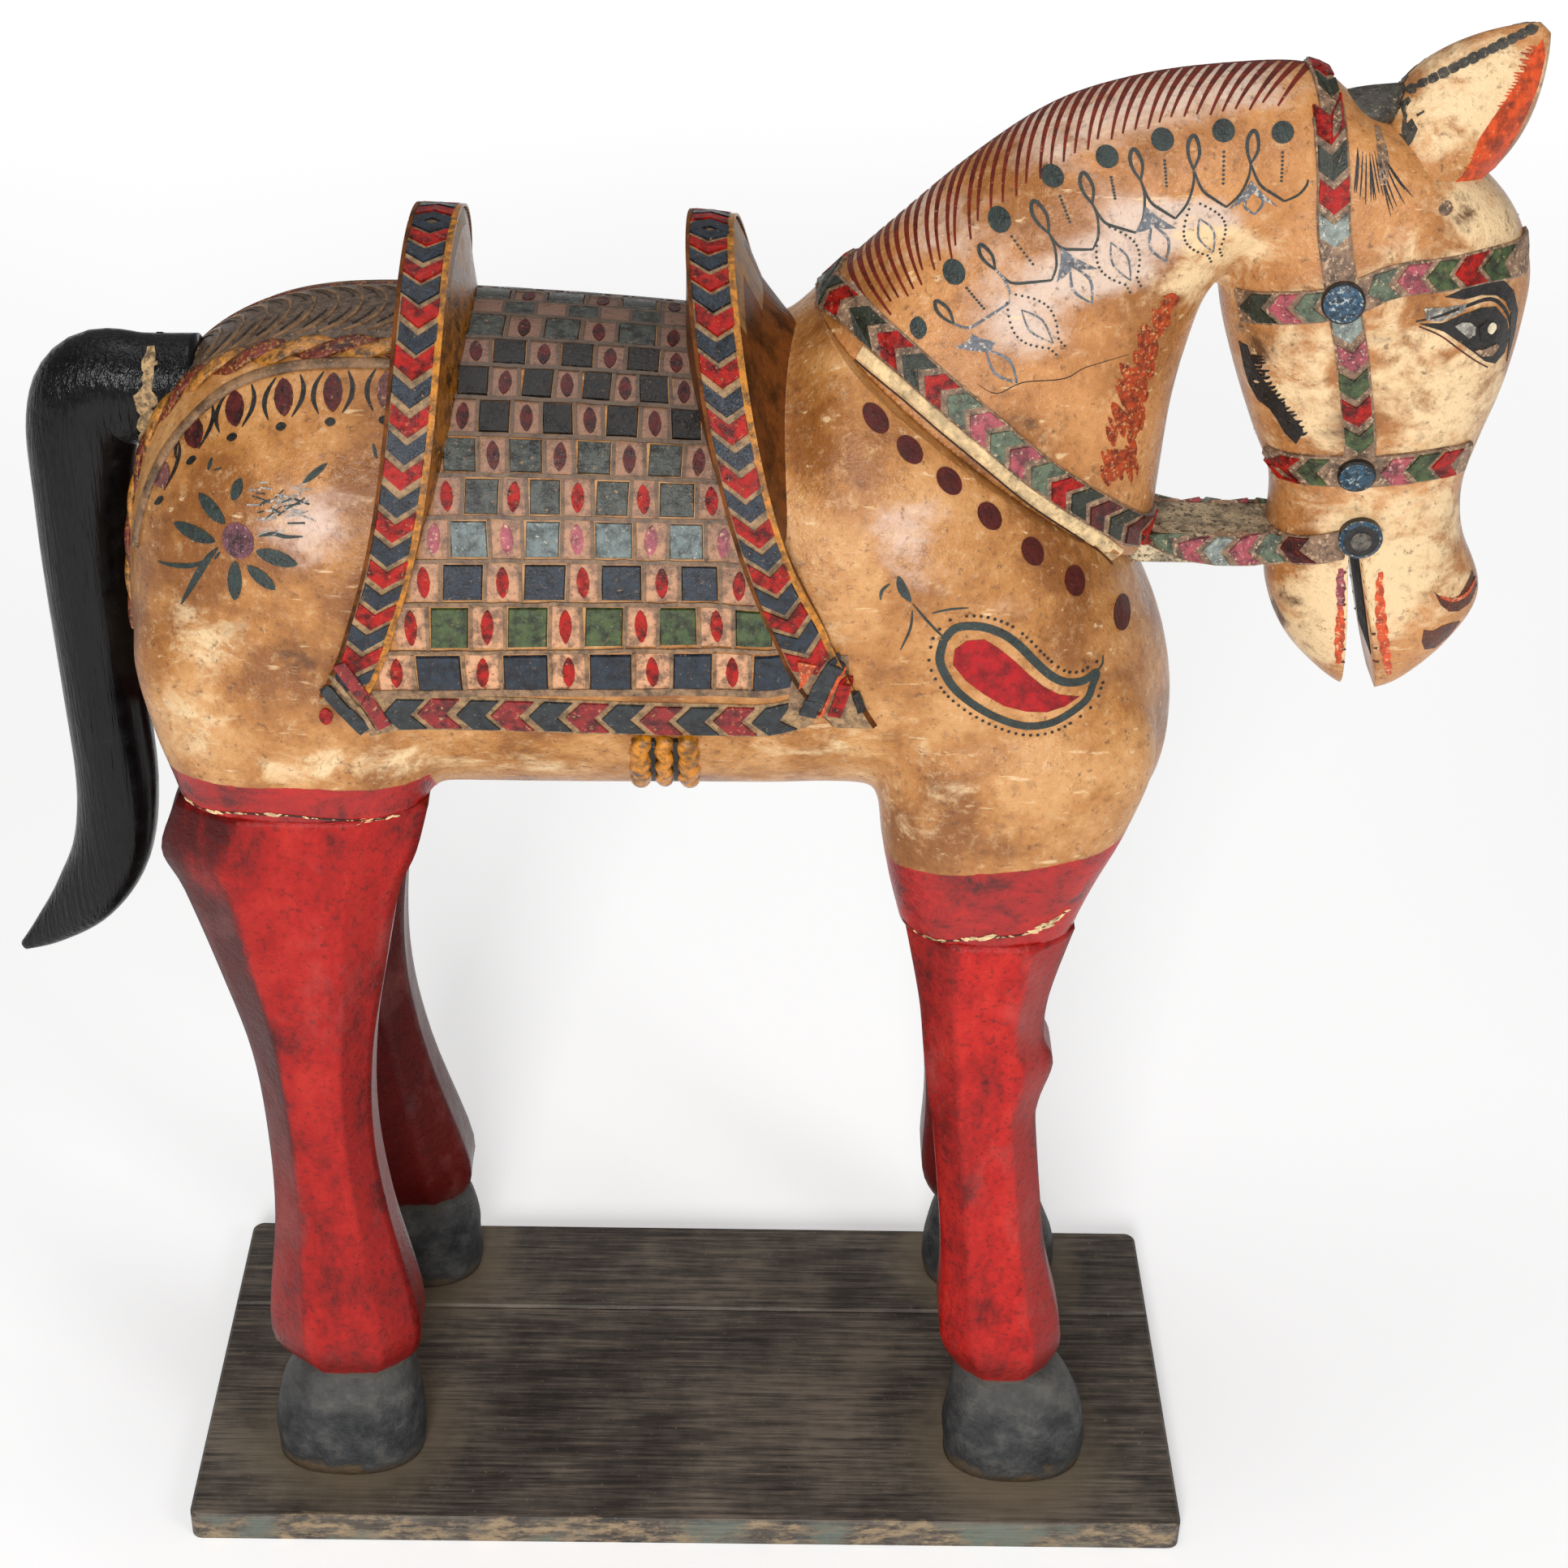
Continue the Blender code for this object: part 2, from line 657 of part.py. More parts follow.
def build():
    clear_scene()
    ochre = material("ochre_paint", (0.55, 0.31, 0.11), 0.35)
    cream = material("cream_paint", (0.66, 0.44, 0.20), 0.38)
    red = material("red_lacquer", (0.36, 0.012, 0.016), 0.30)
    black = material("black_lacquer", (0.010, 0.010, 0.011), 0.22)
    weathered = material("weathered_board", (0.045, 0.036, 0.029), 0.72)

    build_body(ochre)
    build_neck_and_head(cream)
    build_leg("leg_fore_right", FORE_LEG, FORE_HOOF, NEAR_HOOF_Y, 0.0, 0.0, red)
    build_leg("leg_fore_left", FORE_LEG, FORE_HOOF, FAR_HOOF_Y, FAR_FORE_STEP, FAR_DROP, red)
    build_leg("leg_hind_right", HIND_LEG, HIND_HOOF, NEAR_HOOF_Y, 0.0, 0.0, red)
    build_leg("leg_hind_left", HIND_LEG, HIND_HOOF, FAR_HOOF_Y, FAR_HIND_STEP, FAR_DROP, red)
    build_tail(black)
    front_edge = BOARD_CENTRE_Y - BOARD_DEPTH / 2
    back_edge = BOARD_CENTRE_Y + BOARD_DEPTH / 2
    build_board("base_board_front", front_edge, BOARD_SEAM_Y - GAP / 2, weathered)
    build_board("base_board_back", BOARD_SEAM_Y + GAP / 2, back_edge, weathered)


build()
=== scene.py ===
import math
import random

import bmesh
import bpy
from mathutils import Matrix, Vector, noise
from mathutils.bvhtree import BVHTree


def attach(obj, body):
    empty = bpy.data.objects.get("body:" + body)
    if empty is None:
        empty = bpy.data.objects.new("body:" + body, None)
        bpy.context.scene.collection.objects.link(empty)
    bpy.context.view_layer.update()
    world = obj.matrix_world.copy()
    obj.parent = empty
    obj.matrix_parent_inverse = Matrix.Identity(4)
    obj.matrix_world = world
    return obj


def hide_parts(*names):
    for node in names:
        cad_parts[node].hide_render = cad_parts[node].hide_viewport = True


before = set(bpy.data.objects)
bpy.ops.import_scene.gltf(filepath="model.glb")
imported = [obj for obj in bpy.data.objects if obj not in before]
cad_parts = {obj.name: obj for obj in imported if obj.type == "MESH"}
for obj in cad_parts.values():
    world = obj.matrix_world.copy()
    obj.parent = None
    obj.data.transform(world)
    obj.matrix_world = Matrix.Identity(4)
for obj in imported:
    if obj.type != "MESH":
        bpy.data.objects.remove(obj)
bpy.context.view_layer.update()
scene = bpy.context.scene


# ---------------------------------------------------------------- studio
# A plain pale floor under broad soft lamps, seen from a little above the horse's back on its right side.
# The lens sees the whole horse and its stand.
def linear(code):
    """An sRGB hex colour as linear RGBA."""
    parts = [int(code[i : i + 2], 16) / 255 for i in (1, 3, 5)]
    return tuple(p / 12.92 if p <= 0.04045 else ((p + 0.055) / 1.055) ** 2.4 for p in parts) + (1.0,)


def wire(node, inputs):
    """Sets a node's inputs: a hex colour, a value, a socket, or another node by its first live output."""
    for name, value in inputs.items():
        if isinstance(value, bpy.types.Node):
            value = next(socket for socket in value.outputs if socket.enabled)
        if isinstance(value, bpy.types.NodeSocket):
            node.id_data.links.new(value, node.inputs[name])
        else:
            node.inputs[name].default_value = linear(value) if isinstance(value, str) else value


def add_node(tree, kind, inputs={}, stops=(), **settings):
    """Adds a shader node with its settings, values and links; stops are a colour ramp's (place, hex colour)."""
    made = tree.nodes.new("ShaderNode" + kind)
    for name, value in settings.items():
        setattr(made, name, value)
    wire(made, inputs)
    for index, (place, code) in enumerate(stops):
        while len(made.color_ramp.elements) <= index:
            made.color_ramp.elements.new(1.0)
        made.color_ramp.elements[index].position = place
        made.color_ramp.elements[index].color = linear(code)
    return made


def new_material(name):
    """An empty node material, its tree, its Principled shader and its place on the piece."""
    made = bpy.data.materials.new(name)
    made.use_nodes = True
    tree = made.node_tree
    return made, tree, tree.nodes["Principled BSDF"], add_node(tree, "TexCoord").outputs["Object"]


def new_object(name, bm, *surfaces):
    """Turns a bmesh into an object at the origin."""
    mesh = bpy.data.meshes.new(name)
    bm.to_mesh(mesh)
    bm.free()
    made = bpy.data.objects.new(name, mesh)
    scene.collection.objects.link(made)
    for surface in surfaces:
        mesh.materials.append(surface)
    return made


def carried(piece, node=None):
    """Fixes a piece to the horse and hides the CAD node that it stands for, if one is given."""
    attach(piece, "root")
    if node:
        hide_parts(node)
    return piece


# Matt white backdrop vinyl, rolled out flat: it gives no gloss, and it glows, more strongly towards its far part,
# so that it reads as plain white.
FLOOR_SIZE = 14.0
floor_matt, tree, shader, spot = new_material("white_vinyl_floor")
away = add_node(tree, "SeparateXYZ", {0: spot}).outputs["Y"]
glow = add_node(tree, "MapRange", {0: away, 1: 0.0, 2: 3.0, 3: 0.28, 4: 0.8})
wire(
    shader,
    {
        "Base Color": "#F4F4F4",
        "Roughness": 0.9,
        "Specular IOR Level": 0.0,
        "Emission Color": "#FFFFFF",
        "Emission Strength": glow,
    },
)
bm = bmesh.new()
bmesh.ops.create_grid(bm, x_segments=1, y_segments=1, size=FLOOR_SIZE / 2)
new_object("studio_floor", bm, floor_matt)

LENS_PLACE = (0.0219, -1.3529, 1.3524)
LENS_DOWN = math.radians(33.0)
LENS_TURN = math.radians(-1.242)
LENS_ROLL = math.radians(1.576)
lens = bpy.data.cameras.new("view")
lens.sensor_width = 36.0
lens.lens = 63.88
view = bpy.data.objects.new("view", lens)
scene.collection.objects.link(view)
view.matrix_world = (
    Matrix.Translation(LENS_PLACE)
    @ Matrix.Rotation(LENS_TURN, 4, "Z")
    @ Matrix.Rotation(math.pi / 2 - LENS_DOWN, 4, "X")
    @ Matrix.Rotation(LENS_ROLL, 4, "Z")
)
scene.camera = view
scene.view_settings.view_transform = "Standard"

sky = bpy.data.worlds.new("white_room")
sky.use_nodes = True
wire(sky.node_tree.nodes["Background"], {"Color": "#FFFFFF", "Strength": 0.22})
scene.world = sky

LAMP_AIM_Z = 0.5
for name, place, aim_x, width, height, watts in (
    ("softbox_front", (-0.25, -2.5, 1.45), 0.0, 0.75, 0.75, 52.0),
    ("softbox_right", (1.7, -1.7, 1.9), 0.1, 0.7, 0.9, 12.0),
    ("softbox_top", (-0.2, 0.1, 2.6), 0.0, 1.2, 1.0, 15.0),
):
    lamp = bpy.data.lights.new(name, "AREA")
    lamp.shape = "RECTANGLE"
    lamp.size, lamp.size_y, lamp.energy = width, height, watts
    holder = bpy.data.objects.new(name, lamp)
    scene.collection.objects.link(holder)
    turn = (Vector((aim_x, 0.0, LAMP_AIM_Z)) - Vector(place)).to_track_quat("-Z", "Y")
    holder.matrix_world = Matrix.Translation(place) @ turn.to_matrix().to_4x4()


# ---------------------------------------------------------------- torso
# The torso is one block of solid wood with both shoulders and both thighs carved on it, rounded with a rasp
# and painted in ochre, then varnished. The paint is rubbed pale along the belly and thighs, darkened by dirt and
# painted shade beside the saddle and along the edges that turn away, and given a pale painted highlight on the rump
# and shoulder. The tops of the legs carry on the red of the legs up to a brushed line.
GAP = 0.0003
SEAT_LOW = (0.235, 0.6445)
SEAT_HIGH = (0.055, 0.7815)
FORE_JOINT_Z = 0.438
HIND_JOINT_Z = 0.515
STUMP_Y = 0.072
STUMP_REACH = 0.039
TORSO_SQUARENESS = 2.2
TORSO_GRID = 0.0028
TORSO_ROUNDING = 54


def in_mm(*points):
    """Points given in millimetres, in metres."""
    return tuple(tuple(value / 1000 for value in point) for point in points)


# Stations of the torso: X, top, underside and half width. The stumps of the legs: Z, back, front and half depth.
TORSO = in_mm(
    (-305, 632, 562, 30), (-298.5, 674, 533, 64), (-281, 719, 509, 90), (-243, 753, 500, 106),
    (-185, 768, 496, 113), (-80, 766, 495, 112), (10, 760, 496, 110), (45, 757, 497, 111), (80, 786, 497, 112),
    (130, 765, 495, 112), (180, 719, 488, 108), (217, 668, 478, 97), (242, 627, 478, 77), (258, 593, 492, 50),
    (266, 562, 512, 24),
)
FORE_STUMP = in_mm(
    (415, 122, 211, 35), (440, 115, 217, 37), (468, 108, 227, 39), (505, 102, 242, 42), (555, 102, 252, 41),
    (610, 125, 225, 18),
)
HIND_STUMP = in_mm(
    (495, -277, -146, 37), (525, -283, -142, 39), (560, -292, -136, 42), (610, -297, -128, 39),
    (670, -270, -150, 20),
)


def oval(angle, squareness):
    """The unit superellipse at an angle from its top, as (across, up)."""
    power = 2.0 / squareness
    across = math.copysign(abs(math.sin(angle)) ** power, math.sin(angle))
    up = math.copysign(abs(math.cos(angle)) ** power, math.cos(angle))
    return across, up


def spline(stations, place):
    """Reads a smooth curve through the stations; place runs from 0 to the last station's index."""
    index = min(max(int(place), 0), len(stations) - 2)
    share = place - index
    before = stations[max(index - 1, 0)]
    start = stations[index]
    end = stations[index + 1]
    after = stations[min(index + 2, len(stations) - 1)]
    values = []
    for a, b, c, d in zip(before, start, end, after):
        curve = 2 * b + (c - a) * share
        curve += (2 * a - 5 * b + 4 * c - d) * share**2
        curve += (3 * b - a - 3 * c + d) * share**3
        values.append(curve / 2)
    return values


def resampled(stations, steps):
    """The stations with smooth steps put in between."""
    last = len(stations) - 1
    return [spline(stations, step / steps) for step in range(last * steps + 1)]


def loft(bm, rings):
    """Skins closed rings of points and fills both ends."""
    loops = []
    for ring in rings:
        verts = [bm.verts.new(point) for point in ring]
        loops.append([bm.edges.new((verts[i - 1], verts[i])) for i in range(len(verts))])
    for first, second in zip(loops, loops[1:]):
        bmesh.ops.bridge_loops(bm, edges=first + second)
    for end in (loops[0], loops[-1]):
        bmesh.ops.edgeloop_fill(bm, edges=end)
    bmesh.ops.recalc_face_normals(bm, faces=bm.faces)


def ring_between(first, last, half, squareness, count, centre_y=0.0):
    """A superellipse ring that spans two points (X, Z) of the side view and reaches half to each side."""
    x, z = (first[0] + last[0]) / 2, (first[1] + last[1]) / 2
    ring = []
    for step in range(count):
        across, along = oval(2 * math.pi * step / count, squareness)
        ring.append((x + along * (first[0] - x), centre_y + across * half, z + along * (first[1] - z)))
    return ring


def settled(piece):
    """Turns a piece's modifiers into its mesh, shaded smooth."""
    graph = bpy.context.evaluated_depsgraph_get()
    done = bpy.data.meshes.new_from_object(piece.evaluated_get(graph), depsgraph=graph)
    piece.modifiers.clear()
    piece.data = done
    done.shade_smooth()
    return piece


def melted(piece, grid, rounding):
    """Melts overlapping forms into one rounded block."""
    remesh = piece.modifiers.new("melt", "REMESH")
    remesh.mode = "VOXEL"
    remesh.voxel_size = grid
    smooth = piece.modifiers.new("round", "SMOOTH")
    smooth.factor = 0.5
    smooth.iterations = rounding
    return settled(piece)


def cut_flat(piece, point, normal):
    """Saws a piece flat, taking away what lies on the normal's side."""
    bm = bmesh.new()
    bm.from_mesh(piece.data)
    whole = bm.verts[:] + bm.edges[:] + bm.faces[:]
    cut = bmesh.ops.bisect_plane(bm, geom=whole, plane_co=point, plane_no=normal, clear_outer=True)
    rim = [part for part in cut["geom_cut"] if isinstance(part, bmesh.types.BMEdge)]
    bmesh.ops.edgeloop_fill(bm, edges=rim)
    bm.to_mesh(piece.data)
    bm.free()


def skin_tree(*pieces):
    """A search tree over the surface of some pieces."""
    bm = bmesh.new()
    for piece in pieces:
        bm.from_mesh(piece.data)
    tree = BVHTree.FromBMesh(bm)
    bm.free()
    return tree


def torso_section(x):
    """Top, underside and half width of the torso at X."""
    for index in range(len(TORSO) - 1):
        if x <= TORSO[index + 1][0] or index == len(TORSO) - 2:
            span = TORSO[index + 1][0] - TORSO[index][0]
            return spline(TORSO, index + (x - TORSO[index][0]) / span)[1:]


def torso_point(x, angle, rise=0.0):
    """A point of the torso's form at an angle from the spine towards -Y, raised along the section's normal."""
    top, under, half = torso_section(x)
    across, up = oval(angle, TORSO_SQUARENESS)
    middle = (top + under) / 2
    point = Vector((x, -across * half, middle + up * (top - under) / 2))
    outward = Vector((0, -math.sin(angle) / half, math.cos(angle) * 2 / (top - under))).normalized()
    return point + outward * rise


def aged(piece, patches, depth=None):
    """Notes on a skin where it is rubbed pale, darkened by dirt and painted shade, or paled by dulled varnish and a
    painted highlight, and how far it lies below the red line.

    A patch is (what, how much, X, Z, width, height), in millimetres.
    """
    mesh = piece.data
    mesh.color_attributes.new("age", "FLOAT_COLOR", "POINT")
    mesh.attributes.new("red_depth", "FLOAT", "POINT")
    shades, depths = [], []
    for vert in mesh.vertices:
        amounts = [0.0, 0.0, 0.0]
        for channel, amount, x, z, wide, tall in patches:
            far = ((vert.co.x * 1000 - x) / wide) ** 2 + ((vert.co.z * 1000 - z) / tall) ** 2
            if far < 5:
                amounts[channel] += amount * math.exp(-far)
        shades += amounts + [1.0]
        depths.append(depth(vert.co) if depth else -0.05)
    mesh.color_attributes["age"].data.foreach_set("color", shades)
    mesh.attributes["red_depth"].data.foreach_set("value", depths)


def layered(tree, base, layers):
    """Lays thin colours over a base, each as (what places it, reading with none, reading with most, most, colour)."""
    for source, none, full, most, colour in layers:
        share = add_node(tree, "MapRange", {0: source, 1: none, 2: full, 4: most})
        base = add_node(tree, "Mix", {0: share, 6: base, 7: colour}, data_type="RGBA")
    return base


# House paint in oil, brushed on carved wood and varnished, then worn for years by the marks that aged() leaves. To
# the eye: clouds of brown and ochre, cream where it is rubbed, brown dirt in the hollows that also stands as painted
# shade beside raised parts and along edges that turn away, a pink haze where the varnish has dulled that also stands
# as a painted highlight where the lamps glare, flecks of dirt and fine pale scratches that run along the horse. Sizes
# are in millimetres.
def varnished_paint(name, dark, middle, light, cream, dirt_and_shade_tint, pale_dulling_and_glare, red=()):
    """Old varnished paint; red holds the lacquer's tones where a leg's red carries on over it."""
    made, tree, shader, spot = new_material(name)
    age = add_node(tree, "SeparateColor", {0: add_node(tree, "Attribute", attribute_name="age")}).outputs
    brushed = add_node(tree, "Mapping", {"Vector": spot, "Scale": (0.7, 1.0, 1.0)})
    scraped = add_node(tree, "Mapping", {"Vector": spot, "Scale": (0.16, 1.0, 1.0), "Rotation": (0.0, 0.12, 0.0)})
    cloud, blotch, fleck, mottle, scratch = [
        add_node(
            tree,
            "TexNoise",
            {"Vector": at, "Scale": 1000 / size, "Detail": fine, "Roughness": harsh, "Distortion": bend},
        )
        for at, size, fine, harsh, bend in (
            (spot, 70, 6.0, 0.62, 0.0), (brushed, 20, 7.0, 0.68, 0.4), (spot, 4.5, 4.0, 0.7, 0.0),
            (spot, 8, 6.0, 0.78, 0.0), (scraped, 5, 3.0, 0.6, 0.0),
        )
    ]
    base = add_node(tree, "ValToRGB", {0: cloud}, stops=((0.4, dark), (0.5, middle), (0.6, light)))
    swing = add_node(tree, "Math", {0: blotch, 1: 0.5}, operation="SUBTRACT")
    # Channel 1 of the age marks darkens the paint with dirt and painted shade; channel 2 lays a pale tint that is
    # partly dulled varnish and partly a painted highlight.
    for channel, colour, weight, none, full in (
        (2, pale_dulling_and_glare, 0.9, 0.3, 0.75), (0, cream, 1.7, 0.32, 0.74), (1, dirt_and_shade_tint, 1.7, 0.4, 0.72),
    ):
        ragged = add_node(tree, "Math", {0: swing, 1: weight, 2: age[channel]}, operation="MULTIPLY_ADD")
        share = add_node(tree, "MapRange", {0: ragged, 1: none, 2: full}, interpolation_type="SMOOTHSTEP")
        base = add_node(tree, "Mix", {0: share, 6: base, 7: colour}, data_type="RGBA")
    soiled = (fleck, 0.58, 0.7, 0.7)
    base = layered(
        tree,
        base,
        (
            (mottle, 0.47, 0.3, 0.5, dirt_and_shade_tint),
            (mottle, 0.54, 0.72, 0.45, cream),
            (*soiled, dirt_and_shade_tint),
            (scratch, 0.65, 0.72, 0.65, cream),
        ),
    )
    if red:
        depth = add_node(tree, "Attribute", attribute_name="red_depth").outputs["Fac"]
        ragged = add_node(tree, "Math", {0: swing, 1: 0.006, 2: depth}, operation="MULTIPLY_ADD")
        share = add_node(tree, "MapRange", {0: ragged, 1: 0.0, 2: 0.0005})
        lacquer = layered(tree, add_node(tree, "ValToRGB", {0: blotch}, stops=red), ((*soiled, "#3A0E0C"),))
        base = add_node(tree, "Mix", {0: share, 6: base, 7: lacquer}, data_type="RGBA")
    rough = add_node(tree, "MapRange", {0: blotch, 1: 0.35, 2: 0.65, 3: 0.2, 4: 0.44})
    height = add_node(tree, "Math", {0: blotch, 1: fleck}, operation="ADD")
    bump = add_node(tree, "Bump", {"Height": height, "Strength": 0.8, "Distance": 0.0014})
    wire(shader, {"Base Color": base, "Roughness": rough, "Normal": bump, "Specular IOR Level": 0.42})
    return made


LACQUER_TONES = ((0.35, "#560A08"), (0.47, "#94130F"), (0.62, "#B01A15"))
ochre_skin = varnished_paint(
    "old_ochre_paint", "#8A5424", "#B0763C", "#C8925A", "#E4C496", "#5A361C", "#D4B6A4", LACQUER_TONES
)

bm = bmesh.new()
TORSO_COUNT = 48
sections = resampled(TORSO, 4)
loft(bm, [ring_between((x, t), (x, u), -half, TORSO_SQUARENESS, TORSO_COUNT) for x, t, u, half in sections])
for stations in (FORE_STUMP, HIND_STUMP):
    for centre_y in (-STUMP_Y, STUMP_Y):
        sections = resampled(stations, 4)
        loft(bm, [ring_between((front, z), (back, z), d, 2.4, 32, centre_y) for z, back, front, d in sections])
torso = melted(new_object("torso", bm), TORSO_GRID, TORSO_ROUNDING)
seat_way = Vector((SEAT_HIGH[0] - SEAT_LOW[0], 0, SEAT_HIGH[1] - SEAT_LOW[1])).normalized()
seat_up = Vector((-seat_way.z, 0, seat_way.x))
if seat_up.z < 0:
    seat_up.negate()
seat_mid = Vector(((SEAT_LOW[0] + SEAT_HIGH[0]) / 2, 0, (SEAT_LOW[1] + SEAT_HIGH[1]) / 2))
cut_flat(torso, seat_mid, seat_up)
cut_flat(torso, Vector((0, 0, FORE_JOINT_Z + GAP)), Vector((0, 0, -1)))
for vert in torso.data.vertices:
    under_thigh = abs(abs(vert.co.y) - STUMP_Y) < STUMP_REACH and -0.3 < vert.co.x < -0.142
    if under_thigh and vert.co.z < HIND_JOINT_Z + GAP:
        vert.co.z = HIND_JOINT_Z + GAP


def red_depth(point):
    """How far a point of the torso lies below the brushed red line of its leg."""
    if point.x < -0.141:
        return 0.5385 - 0.1 * max(point.x + 0.2, 0) - point.z
    return 0.49 + 0.14 * (point.x - 0.155) - point.z if point.x > 0.095 else -0.05


PALE, DIRT_AND_SHADE, DULLING_AND_GLARE = 0, 1, 2
# Dark patches darken the paint beside the arches, round the tail and along the edges that turn away, partly as dirt and
# partly as painted shade; the pale tint on the rump and shoulder is a painted highlight over dulled varnish.
aged(
    torso,
    (
        (PALE, 0.58, -255, 620, 30, 34), (PALE, 0.42, -266, 570, 34, 20), (DIRT_AND_SHADE, 0.3, -262, 606, 34, 40),
        (DIRT_AND_SHADE, 0.52, -204, 612, 17, 22), (PALE, 0.5, -185, 556, 50, 14), (PALE, 0.46, -90, 540, 90, 22),
        (PALE, 0.38, 60, 560, 60, 25), (PALE, 0.34, 120, 520, 45, 40), (PALE, 0.3, 190, 530, 40, 25),
        (PALE, 0.24, 70, 650, 20, 60), (PALE, 0.22, -165, 680, 25, 60), (DIRT_AND_SHADE, 0.34, -280, 740, 40, 35),
        (DIRT_AND_SHADE, 0.34, -170, 760, 40, 16), (DIRT_AND_SHADE, 0.34, 120, 742, 60, 12), (DIRT_AND_SHADE, 0.3, 200, 672, 30, 14),
        (DIRT_AND_SHADE, 0.3, 245, 640, 20, 20), (DIRT_AND_SHADE, 0.26, -155, 640, 14, 60), (DIRT_AND_SHADE, 0.26, 80, 600, 14, 60),
        (DIRT_AND_SHADE, 0.36, -215, 770, 80, 18), (DIRT_AND_SHADE, 0.22, -230, 640, 40, 20), (DIRT_AND_SHADE, 0.2, 262, 590, 20, 70),
        (DIRT_AND_SHADE, 0.28, 60, 745, 30, 20), (DIRT_AND_SHADE, 0.2, -300, 650, 14, 60), (DULLING_AND_GLARE, 0.66, -195, 692, 36, 24),
        (DULLING_AND_GLARE, 0.62, 108, 690, 30, 30), (DULLING_AND_GLARE, 0.3, -225, 640, 40, 20), (DULLING_AND_GLARE, 0.35, 160, 650, 30, 20),
    ),
    red_depth,
)
torso.data.materials.append(ochre_skin)
torso_skin = skin_tree(torso)
carried(torso, "body")


# ---------------------------------------------------------------- saddle arches
# Cantle and pommel are carved from the same block: two raised arches over the back, each with a flat outer band
# and a flank of dark brown varnish that slopes away towards the head. Small carved arrows, navy and red by turns,
# run down both bands, and amber lines edge them.
# Oil house paint laid on with a small brush and varnished over. To the eye: uneven in depth, nicked through to what
# lies below, glossy where it is whole, with a little soil on top. Varnish and glaze are thinner and glossier, dirt
# and bare wood are dull. Cloud is the size of the uneven patches, and it and the chips and soil are in millimetres.
def coloured(name, code, worn="#A87C50", chips=0.1, gloss=0.34, cloud=6, dim=0.45, spine=None, shine=0.4):
    """One paint: its colour, the colour under its chips, how chipped and how rough it is, and its tone by the spine."""
    made, tree, shader, spot = new_material(name)
    depth, chip, soil = [
        add_node(tree, "TexNoise", {"Vector": spot, "Scale": 1000 / size, "Detail": fine, "Roughness": harsh})
        for size, fine, harsh in ((cloud, 4.0, 0.6), (2.38, 4.0, 0.7), (5.26, 6.0, 0.75))
    ]
    deep = "#%02X%02X%02X" % tuple(int(int(code[i : i + 2], 16) * dim) for i in (1, 3, 5))
    layers = [(chip, 0.7 - chips, 0.76 - chips, 0.9, worn)]
    if spine:
        layers.append((add_node(tree, "SeparateXYZ", {0: spot}).outputs["Z"], 0.62, 0.765, 1.0, spine))
    layers.append((soil, 0.52, 0.7, 0.72, "#2E2018"))
    base = layered(tree, add_node(tree, "ValToRGB", {0: depth}, stops=((0.36, deep), (0.58, code))), layers)
    rough = add_node(tree, "MapRange", {0: depth, 1: 0.3, 2: 0.7, 3: gloss - 0.06, 4: gloss + 0.16})
    bump = add_node(tree, "Bump", {"Height": chip, "Strength": 0.8, "Distance": 0.001})
    wire(shader, {"Base Color": base, "Roughness": rough, "Normal": bump, "Specular IOR Level": shine})
    return made


navy = coloured("navy_paint", "#222C38", chips=0.06, gloss=0.2)
red = coloured("red_paint", "#A8160F", chips=0.08, gloss=0.24, shine=0.24)
green = coloured("green_paint", "#46562F", chips=0.07, gloss=0.24)
slate = coloured("slate_paint", "#484C46", chips=0.08, gloss=0.18)
soot = coloured("soot_paint", "#23211F", chips=0.05, gloss=0.26)
maroon = coloured("maroon_paint", "#581614", chips=0.07, gloss=0.28)
amber = coloured("amber_paint", "#C27B1C", "#6A3510", gloss=0.2, dim=0.55)
orange = coloured("orange_paint", "#CE4E1C", "#C89A68", chips=0.13, gloss=0.26, dim=0.7)
pale = coloured("cream_ground_paint", "#A8865E", "#7A583C", chips=0.14, dim=0.62)
tawny = coloured("tawny_varnish", "#A87A46", "#6A4420", gloss=0.3, cloud=16, dim=0.62, shine=0.08)
brown = coloured("brown_varnish", "#74401A", "#9A6426", chips=0.06, gloss=0.3, cloud=16, dim=0.55, shine=0.08)
honey = coloured("honey_varnish", "#A4621A", "#C88A30", chips=0.12, gloss=0.2, cloud=10, dim=0.42, shine=0.25)


def drop_in(bm, part):
    """Moves a small bmesh into a larger one."""
    kept = bpy.data.meshes.new("part")
    part.to_mesh(kept)
    part.free()
    bm.from_mesh(kept)
    bpy.data.meshes.remove(kept)


def add_loft(bm, rings, slot=0, smooth=False):
    """Skins rings as a solid of their own and moves it into a piece."""
    part = bmesh.new()
    loft(part, rings)
    for face in part.faces:
        face.material_index = slot
        face.smooth = smooth
    drop_in(bm, part)


def side_place(skin, side):
    """For shapes drawn in side view: the carved surface at X and Z on one side, as (point, outward direction)."""

    def found(x, z):
        hit, normal, _, _ = skin.ray_cast(Vector((x, side * 0.3, z)), Vector((0, -side, 0)))
        if hit is None:
            hit, normal, _, _ = skin.find_nearest(Vector((x, side * 0.03, z)))
        return hit, normal

    return found


BACK_ROUND = 0.12


def round_place(skin, side):
    """For shapes drawn round the torso: its surface at X and at a distance from the spine down one side."""

    def found(x, arc):
        far = torso_point(x, -side * arc / BACK_ROUND, 0.04)
        way = (torso_point(x, -side * arc / BACK_ROUND) - far).normalized()
        hit, normal, _, _ = skin.ray_cast(far, way)
        return (far + way * 0.04, -way) if hit is None else (hit, normal)

    return found


def measured(line):
    """How far along a line each of its points lies."""
    reach = [0.0]
    for a, b in zip(line, line[1:]):
        reach.append(reach[-1] + (b - a).length)
    return reach


